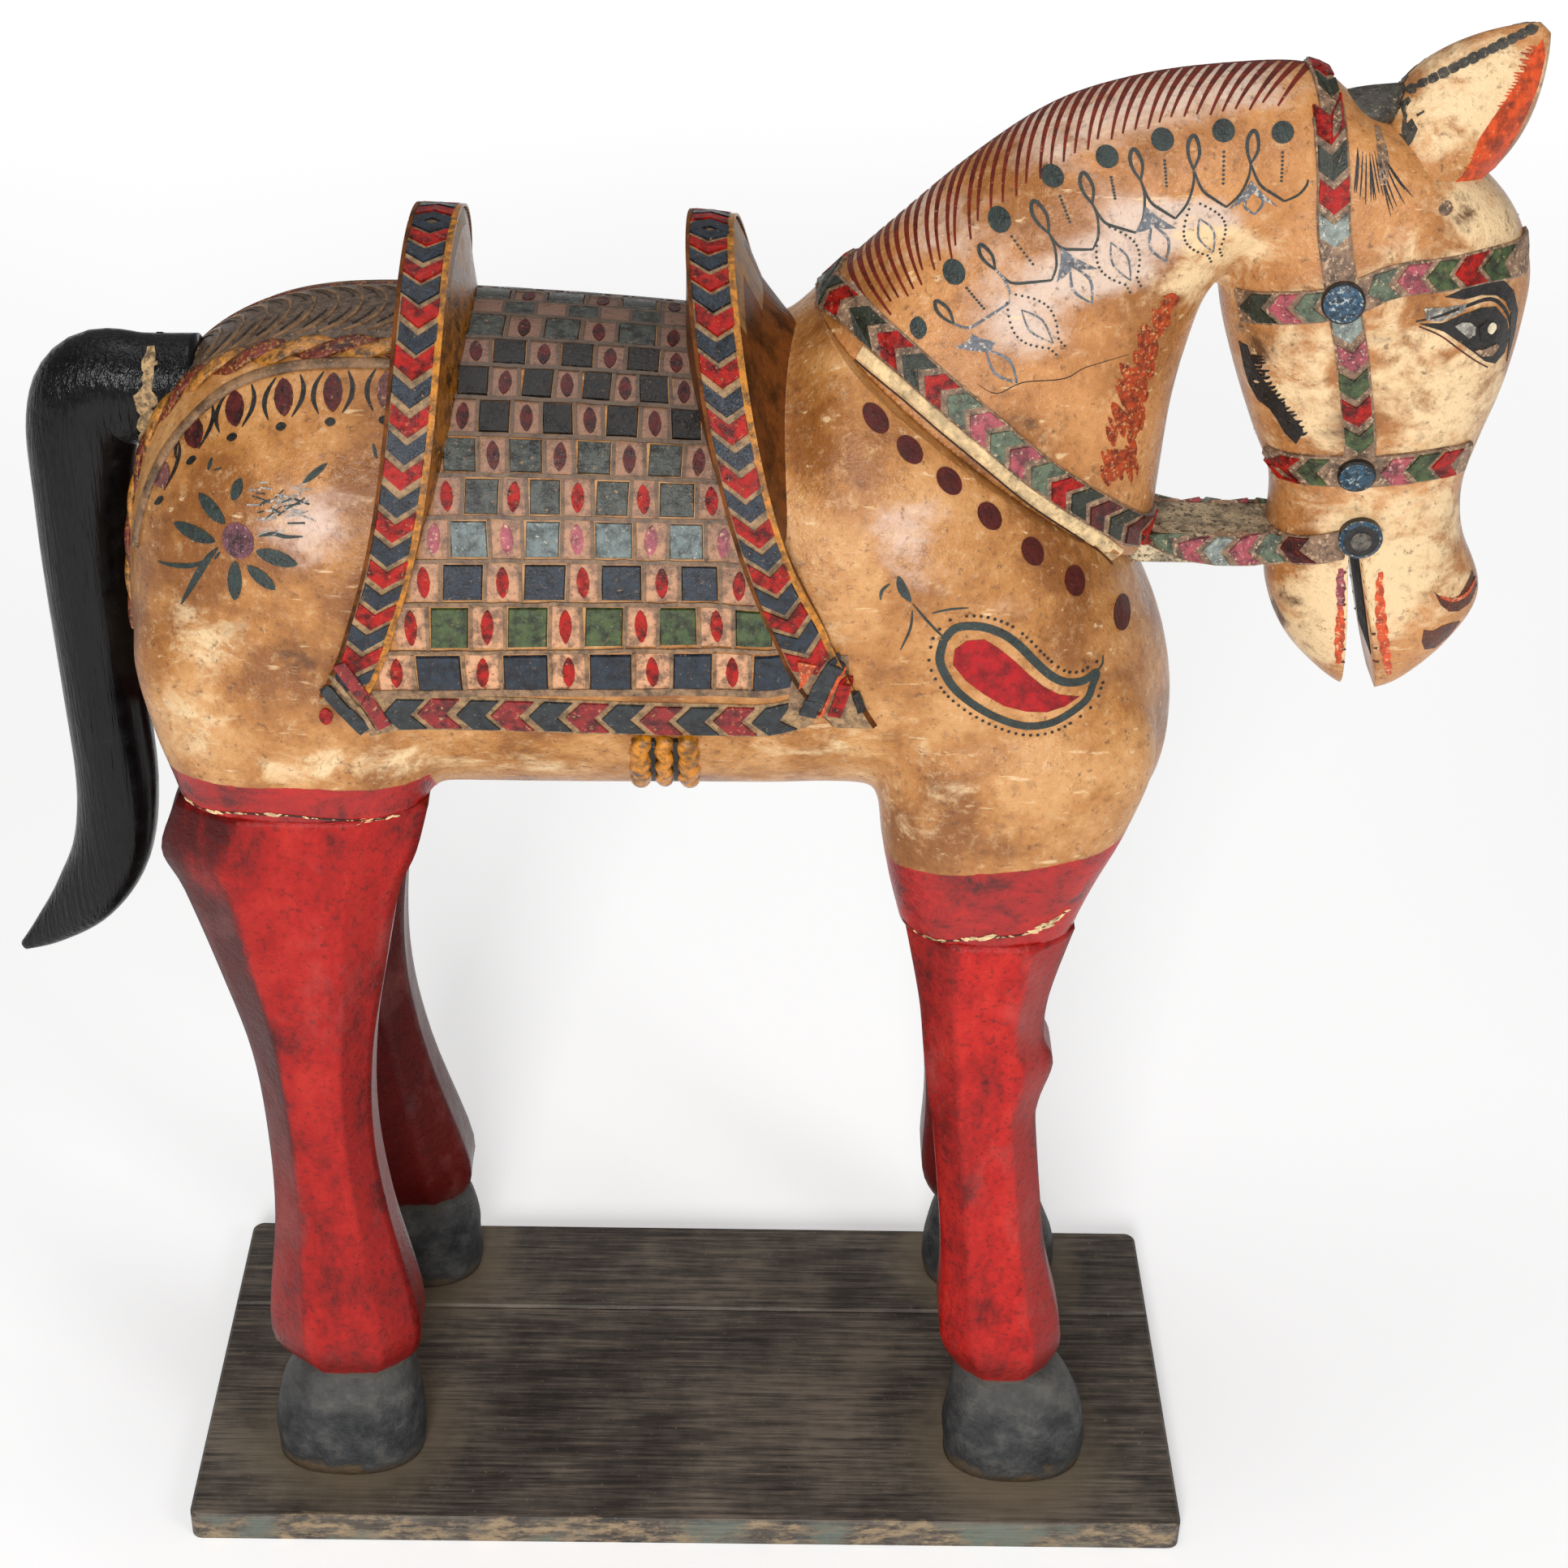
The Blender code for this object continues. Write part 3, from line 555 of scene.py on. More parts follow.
def step_at(reach, along):
    """The step of a measured line that a distance falls in, and how far into it."""
    index = 0
    while index < len(reach) - 2 and reach[index + 1] < along:
        index += 1
    return index, (along - reach[index]) / max(reach[index + 1] - reach[index], 1e-9)


def path_place(points, place, steps=6):
    """For shapes drawn along a line on a surface: distance along it and distance across it; returns its length too."""
    line = [Vector(point[:2]) for point in resampled(points, steps)]
    reach = measured(line)

    def found(along, across):
        index, share = step_at(reach, along)
        way = line[index + 1] - line[index]
        at = line[index] + way * share
        way.normalize()
        return place(at.x - way.y * across, at.y + way.x * across)

    return found, reach[-1]


def lay(bm, outline, place, high=0.0003, low=-0.0007, step=None, slot=0, shrink=1.0):
    """Lays a flat shape on a surface as a thin closed solid; step cuts it to follow curves, shrink slopes its sides."""
    flat = bmesh.new()
    flat.faces.new([flat.verts.new((u, v, 0)) for u, v in outline])
    for axis in (0, 1) if step else ():
        way = Vector((1 - axis, axis, 0))
        least = min(point[axis] for point in outline)
        span = max(point[axis] for point in outline) - least
        parts = int(span / step) + 1
        for index in range(1, parts):
            whole = flat.verts[:] + flat.edges[:] + flat.faces[:]
            bmesh.ops.bisect_plane(flat, geom=whole, plane_co=way * (least + span * index / parts), plane_no=way)
    middle = sum((vert.co for vert in flat.verts), Vector()) / len(flat.verts)
    raised = bmesh.ops.extrude_face_region(flat, geom=flat.faces[:], use_keep_orig=True)["geom"]
    for vert in raised:
        if isinstance(vert, bmesh.types.BMVert):
            vert.co.z = 1.0
    known = {}
    for vert in flat.verts:
        drawn = middle + (vert.co - middle) * shrink if vert.co.z > 0.5 else vert.co
        key = (round(drawn.x, 6), round(drawn.y, 6))
        if key not in known:
            known[key] = place(drawn.x, drawn.y)
        point, normal = known[key]
        vert.co = point + normal * (high if vert.co.z > 0.5 else low)
    bmesh.ops.recalc_face_normals(flat, faces=flat.faces)
    for face in flat.faces:
        face.material_index = slot
    drop_in(bm, flat)


def ribbon(bm, spots, width, high=0.0003, low=-0.0006, slot=0):
    """Lays a brush line through (point, direction) spots; width is one number, or a list with one for each spot."""
    rings = []
    for index, (point, normal) in enumerate(spots):
        before = spots[max(index - 1, 0)][0]
        after = spots[min(index + 1, len(spots) - 1)][0]
        half = (width[index] if isinstance(width, list) else width) / 2
        across = normal.cross(after - before).normalized() * half
        rings.append(
            (point - across + normal * low, point - across + normal * high)
            + (point + across + normal * high, point + across + normal * low)
        )
    add_loft(bm, rings, slot)


def brush(bm, points, place, width, slot=0, steps=4, high=0.0003):
    """Paints a line through drawn points; width is one number, or thick in the middle as (ends, middle)."""
    spots = [place(*point[:2]) for point in resampled(points, steps)]
    if isinstance(width, tuple):
        last = len(spots) - 1
        width = [width[0] + (width[1] - width[0]) * math.sin(math.pi * i / last) for i in range(last + 1)]
    ribbon(bm, spots, width, high, slot=slot)


def arrow(along, across, half, arm, lean):
    """Outline of an arrow shape in a band: its tip lies at along + lean, its arms end at along."""
    return (
        (along, across - half),
        (along + lean, across),
        (along, across + half),
        (along - arm, across + half),
        (along + lean - arm, across),
        (along - arm, across - half),
    )


def almond(u, v, long, wide, turn=0.0, count=12, point=1.4):
    """Outline of an almond that stands upright and is turned by an angle."""
    points = []
    for corner in range(count):
        angle = 2 * math.pi * corner / count
        up = long * math.cos(angle)
        side = wide * math.copysign(abs(math.sin(angle)) ** point, math.sin(angle))
        across = side * math.cos(turn) - up * math.sin(turn)
        points.append((u + across, v + side * math.sin(turn) + up * math.cos(turn)))
    return points


ARCH_BAND = 0.0232
ARCH_FOOT_RISE = 0.003
ARCH_SPAN = 1.97
ARCH_STEPS = 72
CANTLE = (-0.137, 0.045, -0.06, 3.0, 0.007)
POMMEL = (+0.005, 0.052, +0.08, 1.93, 0.033)


def arch_profile(form, angle):
    """Centre X of an arch's band, its rise and the reach of its flank at an angle from the spine."""
    top_x, high, sweep, sweep_power, flank = form
    share = abs(angle) / ARCH_SPAN
    x = top_x + sweep * share**sweep_power
    rise = ARCH_FOOT_RISE + (high - ARCH_FOOT_RISE) * max(math.cos(angle), 0) ** 1.3
    return x, rise, 0.0012 + flank * max(1 - share / 0.58, 0) ** 0.65


def arch_point(form, angle, reach, lift):
    """A point of an arch, with its band kept level across."""
    x = arch_profile(form, angle)[0]
    point = torso_point(x + reach, angle, lift)
    point.y += torso_point(x, angle).y - torso_point(x + reach, angle).y
    return point


def arch_place(form, side):
    """For shapes drawn on an arch's band: distance from its crown down one side, and distance across the band."""
    angles = [ARCH_SPAN * step / 60 for step in range(61)]
    crowns = [arch_point(form, -side * angle, 0, arch_profile(form, angle)[1]) for angle in angles]
    reach = measured(crowns)

    def found(along, across):
        index, share = step_at(reach, along)
        angle = angles[index] + share * (angles[1] - angles[0])
        way = (crowns[index + 1] - crowns[index]).normalized()
        normal = Vector((way.y, -way.x, 0)) if abs(way.z) > 0.999 else Vector((0, side * -way.z, side * way.y))
        if normal.y * side < 0 and angle > 0.5 or normal.z < 0 and angle <= 0.5:
            normal.negate()
        return arch_point(form, -side * angle, across, arch_profile(form, angle)[1]), normal.normalized()

    return found, reach[-1]


def carve_arch(name, form, flank_paint):
    """The arch itself, lofted from foot to foot."""
    rings = []
    for step in range(ARCH_STEPS + 1):
        angle = ARCH_SPAN * (2 * step / ARCH_STEPS - 1)
        _, rise, slope = arch_profile(form, angle)
        edge = ARCH_BAND / 2
        rings.append(
            [
                arch_point(form, angle, reach, lift)
                for reach, lift in (
                    (-edge, -0.014),
                    (-edge, rise - 0.0015),
                    (-edge + 0.0015, rise),
                    (edge - 0.0015, rise),
                    (edge, rise - 0.0015),
                    (edge + slope * 0.19, rise * 0.79 - 0.001),
                    (edge + slope * 0.5, rise * 0.43 - 0.001),
                    (edge + slope * 1.1, -0.005),
                    (edge + slope * 1.1, -0.014),
                )
            ]
        )
    bm = bmesh.new()
    loft(bm, rings)
    for face in bm.faces:
        crown = torso_section(face.calc_center_median().x)[0] + 0.03
        face.material_index = 0 if abs(face.normal.x) < 0.25 else 2 if face.calc_center_median().z > crown else 1
    return carried(new_object(name, bm, pale, flank_paint, tawny))


chance = random.Random(7)


def stray(reach):
    """A small error of the hand, up to a reach either way."""
    return chance.uniform(-reach, reach)


ARROW_PITCH = 0.0137
for name, form, flank_paint in (("cantle", CANTLE, honey), ("pommel", POMMEL, brown)):
    carve_arch(name, form, flank_paint)
    arrows = bmesh.new()
    for side in (-1, 1):
        on_arch, length = arch_place(form, side)
        count = int((length - 0.03) / ARROW_PITCH)
        for index in range(count):
            at = 0.006 + index * ARROW_PITCH + stray(0.0006)
            arm = 0.0105 + chance.uniform(-0.0012, 0.0008)
            shape = arrow(at, stray(0.0006), ARCH_BAND * 0.43, arm, 0.008)
            lay(arrows, shape, on_arch, high=0.0011, slot=index % 2, shrink=0.94)
        for rim, slot in ((-1, 2), (1, 3)):
            spots = [on_arch(0.001 + (length - 0.03) * i / 60, rim * ARCH_BAND * 0.475) for i in range(61)]
            ribbon(arrows, spots, 0.002 if rim < 0 else 0.0034, high=0.0008, slot=slot)
    carried(new_object(name + "_arrows", arrows, navy, red, brown, amber))


# ---------------------------------------------------------------- saddle cloth
# Between the arches the block is carved as a chequered cloth: rows of squares between raised tan lines. The dark
# squares are glossy and stand a little proud, the light ones hold a painted almond. A row of arrows closes the
# cloth below, with slanting stripes at its two corners.
# The tan lines and the light ground of the cells turn darker higher up, towards the spine. The hem's navy and red
# are chipped to tan.
line_tan = coloured("tan_line_paint", "#967454", "#4E3826", chips=0.09, gloss=0.32, dim=0.6, spine="#5C4C40")
cell_ground = coloured(
    "cell_ground_paint", "#D49E76", "#7E5034", chips=0.12, gloss=0.24, dim=0.62, spine="#806050"
)
# The pale rose and the pale slate are lighter copies of the red and the slate: a painted sheen for the fourth row of
# the cloth, where the lamp glares.
sheen_washed_rose = coloured("rose_paint_with_painted_sheen", "#A8505C", "#D2A888", chips=0.14, gloss=0.26, dim=0.75)
hem_navy = coloured("hem_navy_paint", "#2C3134", "#6E6A5C", chips=0.09, gloss=0.24, dim=0.6)
hem_red = coloured("hem_red_paint", "#8E2224", "#B88A60", gloss=0.26, dim=0.5)
sheen_lit_slate = coloured("slate_paint_with_painted_sheen", "#6C7876", "#B8B4A4", gloss=0.16, dim=0.6)

ROW_LINES = (1.76, 1.59, 1.425, 1.26, 1.09, 0.92, 0.75, 0.58, 0.41, 0.24, 0.06)
ROW_CELLS = (10, 10, 9, 9, 9, 8, 8, 8, 7, 6)
CLOTH_PAINTS = (line_tan, navy, green, slate, soot, cell_ground, red, maroon, slate)
CLOTH_PAINTS += (sheen_lit_slate, sheen_washed_rose, pale, orange, hem_navy, hem_red)
TAN, NAVY, GREEN, SLATE, SOOT, GROUND, RED, MAROON, GREY, SHEEN_SLATE, ROSE, PALE_TAN, ORANGE, HEM_NAVY, HEM_RED = range(15)
# The fourth row's pale slate squares and rose almonds stand for painted sheen on slate and red.
ROW_PAINTS = (NAVY, GREEN, NAVY, SHEEN_SLATE, GREY, SLATE, SOOT, SOOT, SOOT, SLATE)
ALMOND_PAINTS = (RED, RED, RED, ROSE, RED, MAROON, MAROON, MAROON, MAROON, MAROON)
ROW_DARK_FIRST = (0, 0, 0, 0, 0, 1, 0, 1, 0, 1)
DARK_SHARE = 0.56
CLOTH_TILT = 0.03
CELL_CUT = 0.0062
LINE_HALF = 0.001
LINE_HIGH = 0.0014
HEM_ARC = 0.227
HEM_PITCH = 0.0194
HEM_HALF = 0.0112
HEM_LINE = ((-0.17, 0), (-0.1, -0.0004), (-0.03, 0.001), (0.03, 0.0002), (0.062, -0.004))
SPINE_HALF = 0.0062
SPINE_PITCH = 0.0165

cloth = bmesh.new()
for side in (-1, 1):
    on_side = round_place(torso_skin, side)

    def on_cloth(x, arc):
        return on_side(x, arc - CLOTH_TILT * (x + 0.05) * min(arc / BACK_ROUND, 1))

    def cloth_edges(arc):
        rear, _, slope = arch_profile(CANTLE, arc / BACK_ROUND)
        front, _, _ = arch_profile(POMMEL, arc / BACK_ROUND)
        return rear + ARCH_BAND / 2 + slope - 0.002, front - ARCH_BAND / 2 + 0.001

    rows = [angle * BACK_ROUND for angle in ROW_LINES]
    for row, count in enumerate(ROW_CELLS):
        low, high = rows[row + 1] + LINE_HALF, rows[row] - LINE_HALF
        rear, front = cloth_edges((low + high) / 2)
        darks = [(i + ROW_DARK_FIRST[row]) % 2 == 1 for i in range(count)]
        shares = [(DARK_SHARE if dark else 1 - DARK_SHARE) + stray(0.04) for dark in darks]
        left = rear
        for dark, share in zip(darks, shares):
            right = left + (front - rear) * share / sum(shares)
            tilt = stray(0.001)
            inner_left, inner_right = left + LINE_HALF, right - LINE_HALF
            corners = (
                (inner_left + tilt, low + 0.0004),
                (inner_right + tilt, low + 0.0004),
                (inner_right, high - 0.0004),
                (inner_left, high - 0.0004),
            )
            if dark:
                lay(cloth, corners, on_cloth, high=0.0015, step=CELL_CUT, slot=ROW_PAINTS[row], shrink=0.9)
            else:
                lay(cloth, corners, on_cloth, high=0.0003, step=CELL_CUT, slot=GROUND)
                lean = stray(0.09)
                seed = almond((left + right) / 2, (low + high) / 2, (high - low) * 0.44, 0.0036, lean)
                lay(cloth, seed, on_cloth, high=0.0009, slot=ALMOND_PAINTS[row], shrink=0.9)
            spots = [on_cloth(right + tilt * (1 - i / 4), low + (high - low) * i / 4) for i in range(5)]
            ribbon(cloth, spots, 0.0019, high=0.0012, slot=TAN)
            left = right
    for index, arc in enumerate(rows):
        rear, front = cloth_edges(arc)
        spots = [on_cloth(rear + (front - rear) * i / 24, arc + stray(0.0003)) for i in range(25)]
        ribbon(cloth, spots, 0.0044 if index == 0 else 0.0022, high=LINE_HIGH, slot=TAN)

    on_hem, length = path_place([(x, HEM_ARC + drop) for x, drop in HEM_LINE], on_side)
    for i in range(24):
        a, b = length * i / 24, length * (i + 1) / 24
        strip = ((a, -HEM_HALF), (b, -HEM_HALF), (b, HEM_HALF), (a, HEM_HALF))
        lay(cloth, strip, on_hem, high=0.0006, step=0.006, slot=PALE_TAN)
    for i in range(int(length / HEM_PITCH)):
        at = 0.0145 + i * HEM_PITCH + stray(0.0008)
        shape = arrow(at, stray(0.0005), 0.0098, -0.015, -0.0084)
        lay(cloth, shape, on_hem, high=0.0017, slot=HEM_RED if i % 2 else HEM_NAVY, shrink=0.95)
    for i in range(7) if side < 0 else ():
        rear, front = -0.118 + SPINE_PITCH * i, -0.118 + SPINE_PITCH * (i + 1)
        ends = (rear + 0.001, front - 0.001)
        corners = [(x, -SPINE_HALF) for x in ends] + [(x, SPINE_HALF) for x in reversed(ends)]
        lay(cloth, corners, on_side, high=0.0012, step=CELL_CUT, slot=SLATE if i % 2 else GROUND)
        spots = [on_side(front, SPINE_HALF * (k / 1.5 - 1)) for k in range(4)]
        ribbon(cloth, spots, 0.0018, high=0.0012, slot=TAN)
saddle_cloth = carried(new_object("saddle_cloth", cloth, *CLOTH_PAINTS))

saddle_skin = skin_tree(torso, saddle_cloth, bpy.data.objects["cantle"], bpy.data.objects["pommel"])
REAR_CORNER = in_mm((-189, 606), (-183, 620), (-170, 608), (-158, 576), (-172, 573))
FRONT_CORNER = in_mm((52, 626), (80, 626), (83, 596), (76, 587), (60, 585), (50, 593))
corners = bmesh.new()
for side in (-1, 1):
    on_saddle = side_place(saddle_skin, side)
    for outline in (REAR_CORNER, FRONT_CORNER):
        lay(corners, outline, on_saddle, high=0.0005, low=-0.004, step=0.005, slot=TAN)
    for line, width, slot in (
        (in_mm((-182, 619), (-172, 600), (-162, 577)), 0.0072, HEM_RED),
        (in_mm((-186, 611), (-177, 595), (-168, 576)), 0.0024, PALE_TAN),
        (in_mm((-190, 603), (-182, 589), (-172, 575)), 0.007, HEM_NAVY),
        (in_mm((75, 624), (67, 608), (60, 587)), 0.0092, HEM_NAVY),
        (in_mm((80, 614), (77, 601), (74, 589)), 0.0068, RED),
        (in_mm((77.5, 620), (72, 605), (67, 588)), 0.0018, ORANGE),
        (in_mm((84, 603), (88, 592)), 0.004, HEM_NAVY),
    ):
        brush(corners, line, on_saddle, width, slot, 8, high=0.0026 if slot in (PALE_TAN, ORANGE) else 0.0022)
    lay(corners, almond(-0.1915, 0.585, 0.0048, 0.0036), on_saddle, high=0.0018, step=0.004, slot=RED)
    corner = ((0.054, 0.624), (0.064, 0.622), (0.056, 0.607))
    lay(corners, corner, on_saddle, high=0.002, step=0.005, slot=ORANGE)
carried(new_object("cloth_corners", corners, *CLOTH_PAINTS))


# ---------------------------------------------------------------- crupper and girth
# Behind the saddle a carved strap of leaves runs down the spine to the tail between two twisted ropes, with a
# rounded ridge below each rope and a row of painted almonds beneath. The girth's knot is three amber rolls.
# Brown glazes rubbed to tan on the carved leaves, and thick glossy amber and maroon on the ropes.
leaf_brown = coloured("leaf_brown_paint", "#6F5A4A", "#8E7A66", cloud=4, dim=0.6)
leaf_dark = coloured("leaf_dark_paint", "#4C3E34", "#6F5A4A")
ridge_brown = coloured("ridge_brown_paint", "#8E6A48", "#B08C62", gloss=0.26, cloud=12, dim=0.62)
rope_amber = coloured("rope_amber_paint", "#C2802E", "#5E2A14", chips=0.12, gloss=0.1, cloud=5, shine=0.6)
rope_maroon = coloured("rope_maroon_paint", "#742C1C", "#A87838", chips=0.16, gloss=0.18, cloud=5)


def nearest_spots(skin, points, steps):
    """Drops a line of points in space onto the surface, as (point, outward direction) spots."""
    spots = []
    for point in resampled(points, steps):
        hit, normal, _, _ = skin.find_nearest(Vector(point))
        spots.append((hit, normal))
    return spots


def circle(centre, one, other, radius, count):
    """A ring of points round a centre, in the plane of two directions."""
    turns = [2 * math.pi * corner / count for corner in range(count)]
    return [centre + (one * math.cos(t) + other * math.sin(t)) * radius for t in turns]


def tube(bm, spots, radius, lift, strands=((0, 0),), twist=0.0, flat=1.0, corners=10):
    """Lays a cord along spots; strands are (slot, start angle) pairs that wind round it once per twist metres."""
    for slot, start in strands:
        rings = []
        run = 0.0
        for index, (point, normal) in enumerate(spots):
            before = spots[max(index - 1, 0)][0]
            after = spots[min(index + 1, len(spots) - 1)][0]
            run += (point - before).length
            way = (after - before).normalized()
            up = (normal - way * normal.dot(way)).normalized()
            out = way.cross(up)
            centre = point + up * lift
            if twist:
                angle = start + 2 * math.pi * run / twist
                centre += (up * math.sin(angle) * flat + out * math.cos(angle)) * radius * 0.62
            end = min(index, len(spots) - 1 - index)
            rings.append(circle(centre, out, up * flat, radius * (0.35 if end == 0 else 1.0), corners))
        add_loft(bm, rings, slot, smooth=True)


faded_plum = coloured("faded_plum_paint", "#7A4844", "#C09878", chips=0.13, gloss=0.26)
STRAP_PAINTS = (leaf_brown, ridge_brown, leaf_dark, rope_amber, rope_maroon, ridge_brown, faded_plum, maroon, soot)
LEAF, RIB_PALE, RIB_DARK, AMBER_STRAND, MAROON_STRAND, RIDGE, FADED_PLUM, PLUM_RED, BRACKET = range(9)
STRAP_START = -0.15
STRAP_HALF = 0.033
STRAP_STEP = 0.0062
LEAF_PITCH = 0.0125
LEAF_RIB = in_mm((0, 1), (-3, 12), (-10, 21), (-19, 27))
LEAF_SHADE = in_mm((-5, 6), (-9, 14), (-15, 21))
ROPE_ON_BACK = in_mm((-148, 41), (-172, 40), (-207, 38), (-240, 35))
ROPE_ON_RUMP = in_mm(
    (-263, 30, 735), (-281, 29, 712), (-294, 29, 686), (-301, 30, 655), (-304, 31, 622), (-302, 31, 592),
)
RIDGE_LINE = in_mm((-150, 52), (-200, 51), (-235, 55), (-259, 66), (-272, 76), (-280, 88), (-287, 102), (-291, 120))
BRACKET_LINE = in_mm((6.2, -13), (9.4, -4.5), (9.4, 4), (6, 12.5))

strap = bmesh.new()
for side in (-1, 1):
    on_side = round_place(torso_skin, side)
    for i in range(22):
        a, b = STRAP_START - STRAP_STEP * i, STRAP_START - STRAP_STEP * (i + 1)
        strip = ((a, -0.001), (a, STRAP_HALF), (b, STRAP_HALF), (b, -0.001))
        lay(strap, strip, on_side, high=0.001, step=0.0065, slot=LEAF)
    for i in range(11):
        x = STRAP_START - LEAF_PITCH * i
        brush(strap, [(x + u, arc) for u, arc in LEAF_RIB], on_side, (0.001, 0.0026), RIB_PALE, high=0.0016)
        brush(strap, [(x + u, arc) for u, arc in LEAF_SHADE], on_side, (0.0004, 0.0012), RIB_DARK, high=0.0017)
    rope_line = [on_side(x, arc)[0] for x, arc in ROPE_ON_BACK]
    rope_line += [Vector((x, side * y, z)) for x, y, z in ROPE_ON_RUMP]
    spots = nearest_spots(torso_skin, rope_line, 14)
    if side < 0:
        tube(strap, spots, 0.0057, 0.0002, ((AMBER_STRAND, 0.0), (MAROON_STRAND, math.pi)), twist=0.046, flat=0.4)
    else:
        tube(strap, spots, 0.0018, 0.0002, ((MAROON_STRAND, 0.0),))
    ridge_line = [on_side(x, arc)[0] for x, arc in RIDGE_LINE]
    tube(strap, nearest_spots(torso_skin, ridge_line, 8), 0.0034, 0.0004, ((RIDGE, 0),), flat=0.75)
    for x, arc, lean in (
        (-0.1565, 0.068, 0.0), (-0.1835, 0.069, 0.05), (-0.2085, 0.0695, 0.1), (-0.234, 0.0705, 0.12),
        (-0.256, 0.075, 0.22), (-0.2745, 0.088, 0.3),
    ):
        faint = FADED_PLUM if x < -0.27 or x > -0.16 else PLUM_RED
        lay(strap, almond(x, arc, 0.0118, 0.005, -lean), on_side, high=0.0007, step=0.006, slot=faint)
        for bow in (-1, 1):
            if x < -0.27 and bow < 0:
                continue
            line = [(x + bow * u - v * lean, arc + v) for u, v in BRACKET_LINE]
            brush(strap, line, on_side, (0.0005, 0.0026), BRACKET)
        lay(strap, almond(x - 0.0005, arc + 0.0172, 0.0024, 0.0028), on_side, high=0.0006, slot=BRACKET)
carried(new_object("crupper", strap, *STRAP_PAINTS))

KNOT_X = -0.0155
KNOT_ROLLS = (-0.0125, 0.0, 0.013)
knot = bmesh.new()
for side in (-1, 1):
    on_side = round_place(torso_skin, side)
    for index, offset in enumerate(KNOT_ROLLS):
        x = KNOT_X + offset
        line = [on_side(x + 0.001 * math.sin(i * 1.9 + index), 0.24 + 0.052 * i / 10)[0] for i in range(11)]
        radius = 0.0054 if index != 1 else 0.0046
        tube(knot, nearest_spots(torso_skin, line, 3), radius, 0.0016, ((0, 0),), flat=0.9, corners=14)
        # Black strips between the rolls are painted shade in the gaps between them.
        if index < 2:
            gap = [on_side(x + 0.0064, 0.242 + 0.046 * i / 10) for i in range(11)]
            ribbon(knot, gap, 0.003, high=0.003, slot=1)
knot_amber = coloured("knot_amber_paint", "#DA8A16", "#5A2A10", gloss=0.1, dim=0.48, shine=0.7)
carried(new_object("girth_knot", knot, knot_amber, soot))


# ---------------------------------------------------------------- painted flowers
# Brushed ornaments on the bare ochre: an open flower with dark leaves on each thigh, a red pear-shaped paisley
# inside a dark green outline with dots on each shoulder, and a row of maroon ovals round the chest.
# Thin paint brushed straight on the ochre: a green that is nearly black, maroons, and chalky grey strokes on the
# flower that are partly left where petals have gone and partly a painted sheen where the lamp glares on the rump.
leaf_green = coloured("dark_leaf_paint", "#2B3733", "#5A5648", chips=0.08, gloss=0.28, dim=0.7)
plum = coloured("plum_paint", "#6E3E48", "#B89098", chips=0.08, gloss=0.2)
pale_grey_and_sheen = coloured("grey_paint_and_sheen", "#8E8A84", "#C0B0A0", chips=0.2, gloss=0.2, dim=0.8)
oval_maroon = coloured("oval_maroon_paint", "#501610", "#8A5434", chips=0.04, dim=0.75, shine=0.25)
paisley_red = coloured(
    "paisley_red_paint", "#AC141A", "#7E1014", chips=0.06, gloss=0.24, cloud=10, dim=0.7, shine=0.24
)

PAISLEY = in_mm(
    (129, 636), (135, 643), (147, 643.5), (159, 639), (168.5, 631.5), (178, 621), (186.5, 612.5), (194.5, 607.5),
    (204, 606), (212, 608.5), (210, 602), (207.5, 595), (199, 588.5), (188, 583), (175, 582), (162, 586.5),
    (149, 594.5), (137.5, 605), (131, 615), (127.5, 625), (129, 636),
)
PAISLEY_HEART = in_mm(
    (134.5, 621.5), (135, 630.5), (141, 635.5), (150, 636), (157.5, 631), (167, 622.5), (175, 614), (183, 606.5),
    (192, 600.5), (203, 597.5), (195.5, 593), (186, 590.5), (175, 591.5), (163, 595.5), (152, 603), (142, 611.5),
)
CHEST_OVALS = in_mm((90.5, 746), (108, 732), (128.5, 716.5), (150, 698), (173.5, 677.5), (197.5, 657), (226.5, 628.5))
FLOWER_HEART = [(0.0084 * math.sin(a / 3) - 0.231, 0.0088 * math.cos(a / 3) + 0.681) for a in range(19)]
FLOWER_PAINTS = (leaf_green, plum, pale_grey_and_sheen, paisley_red, soot, oval_maroon)
LEAF_GREEN, PLUM, GREY_AND_SHEEN, PAISLEY_RED, SOOT_DOT, OVAL = range(6)
DOT_PITCH = 0.003
DOT_OUT = 0.0056

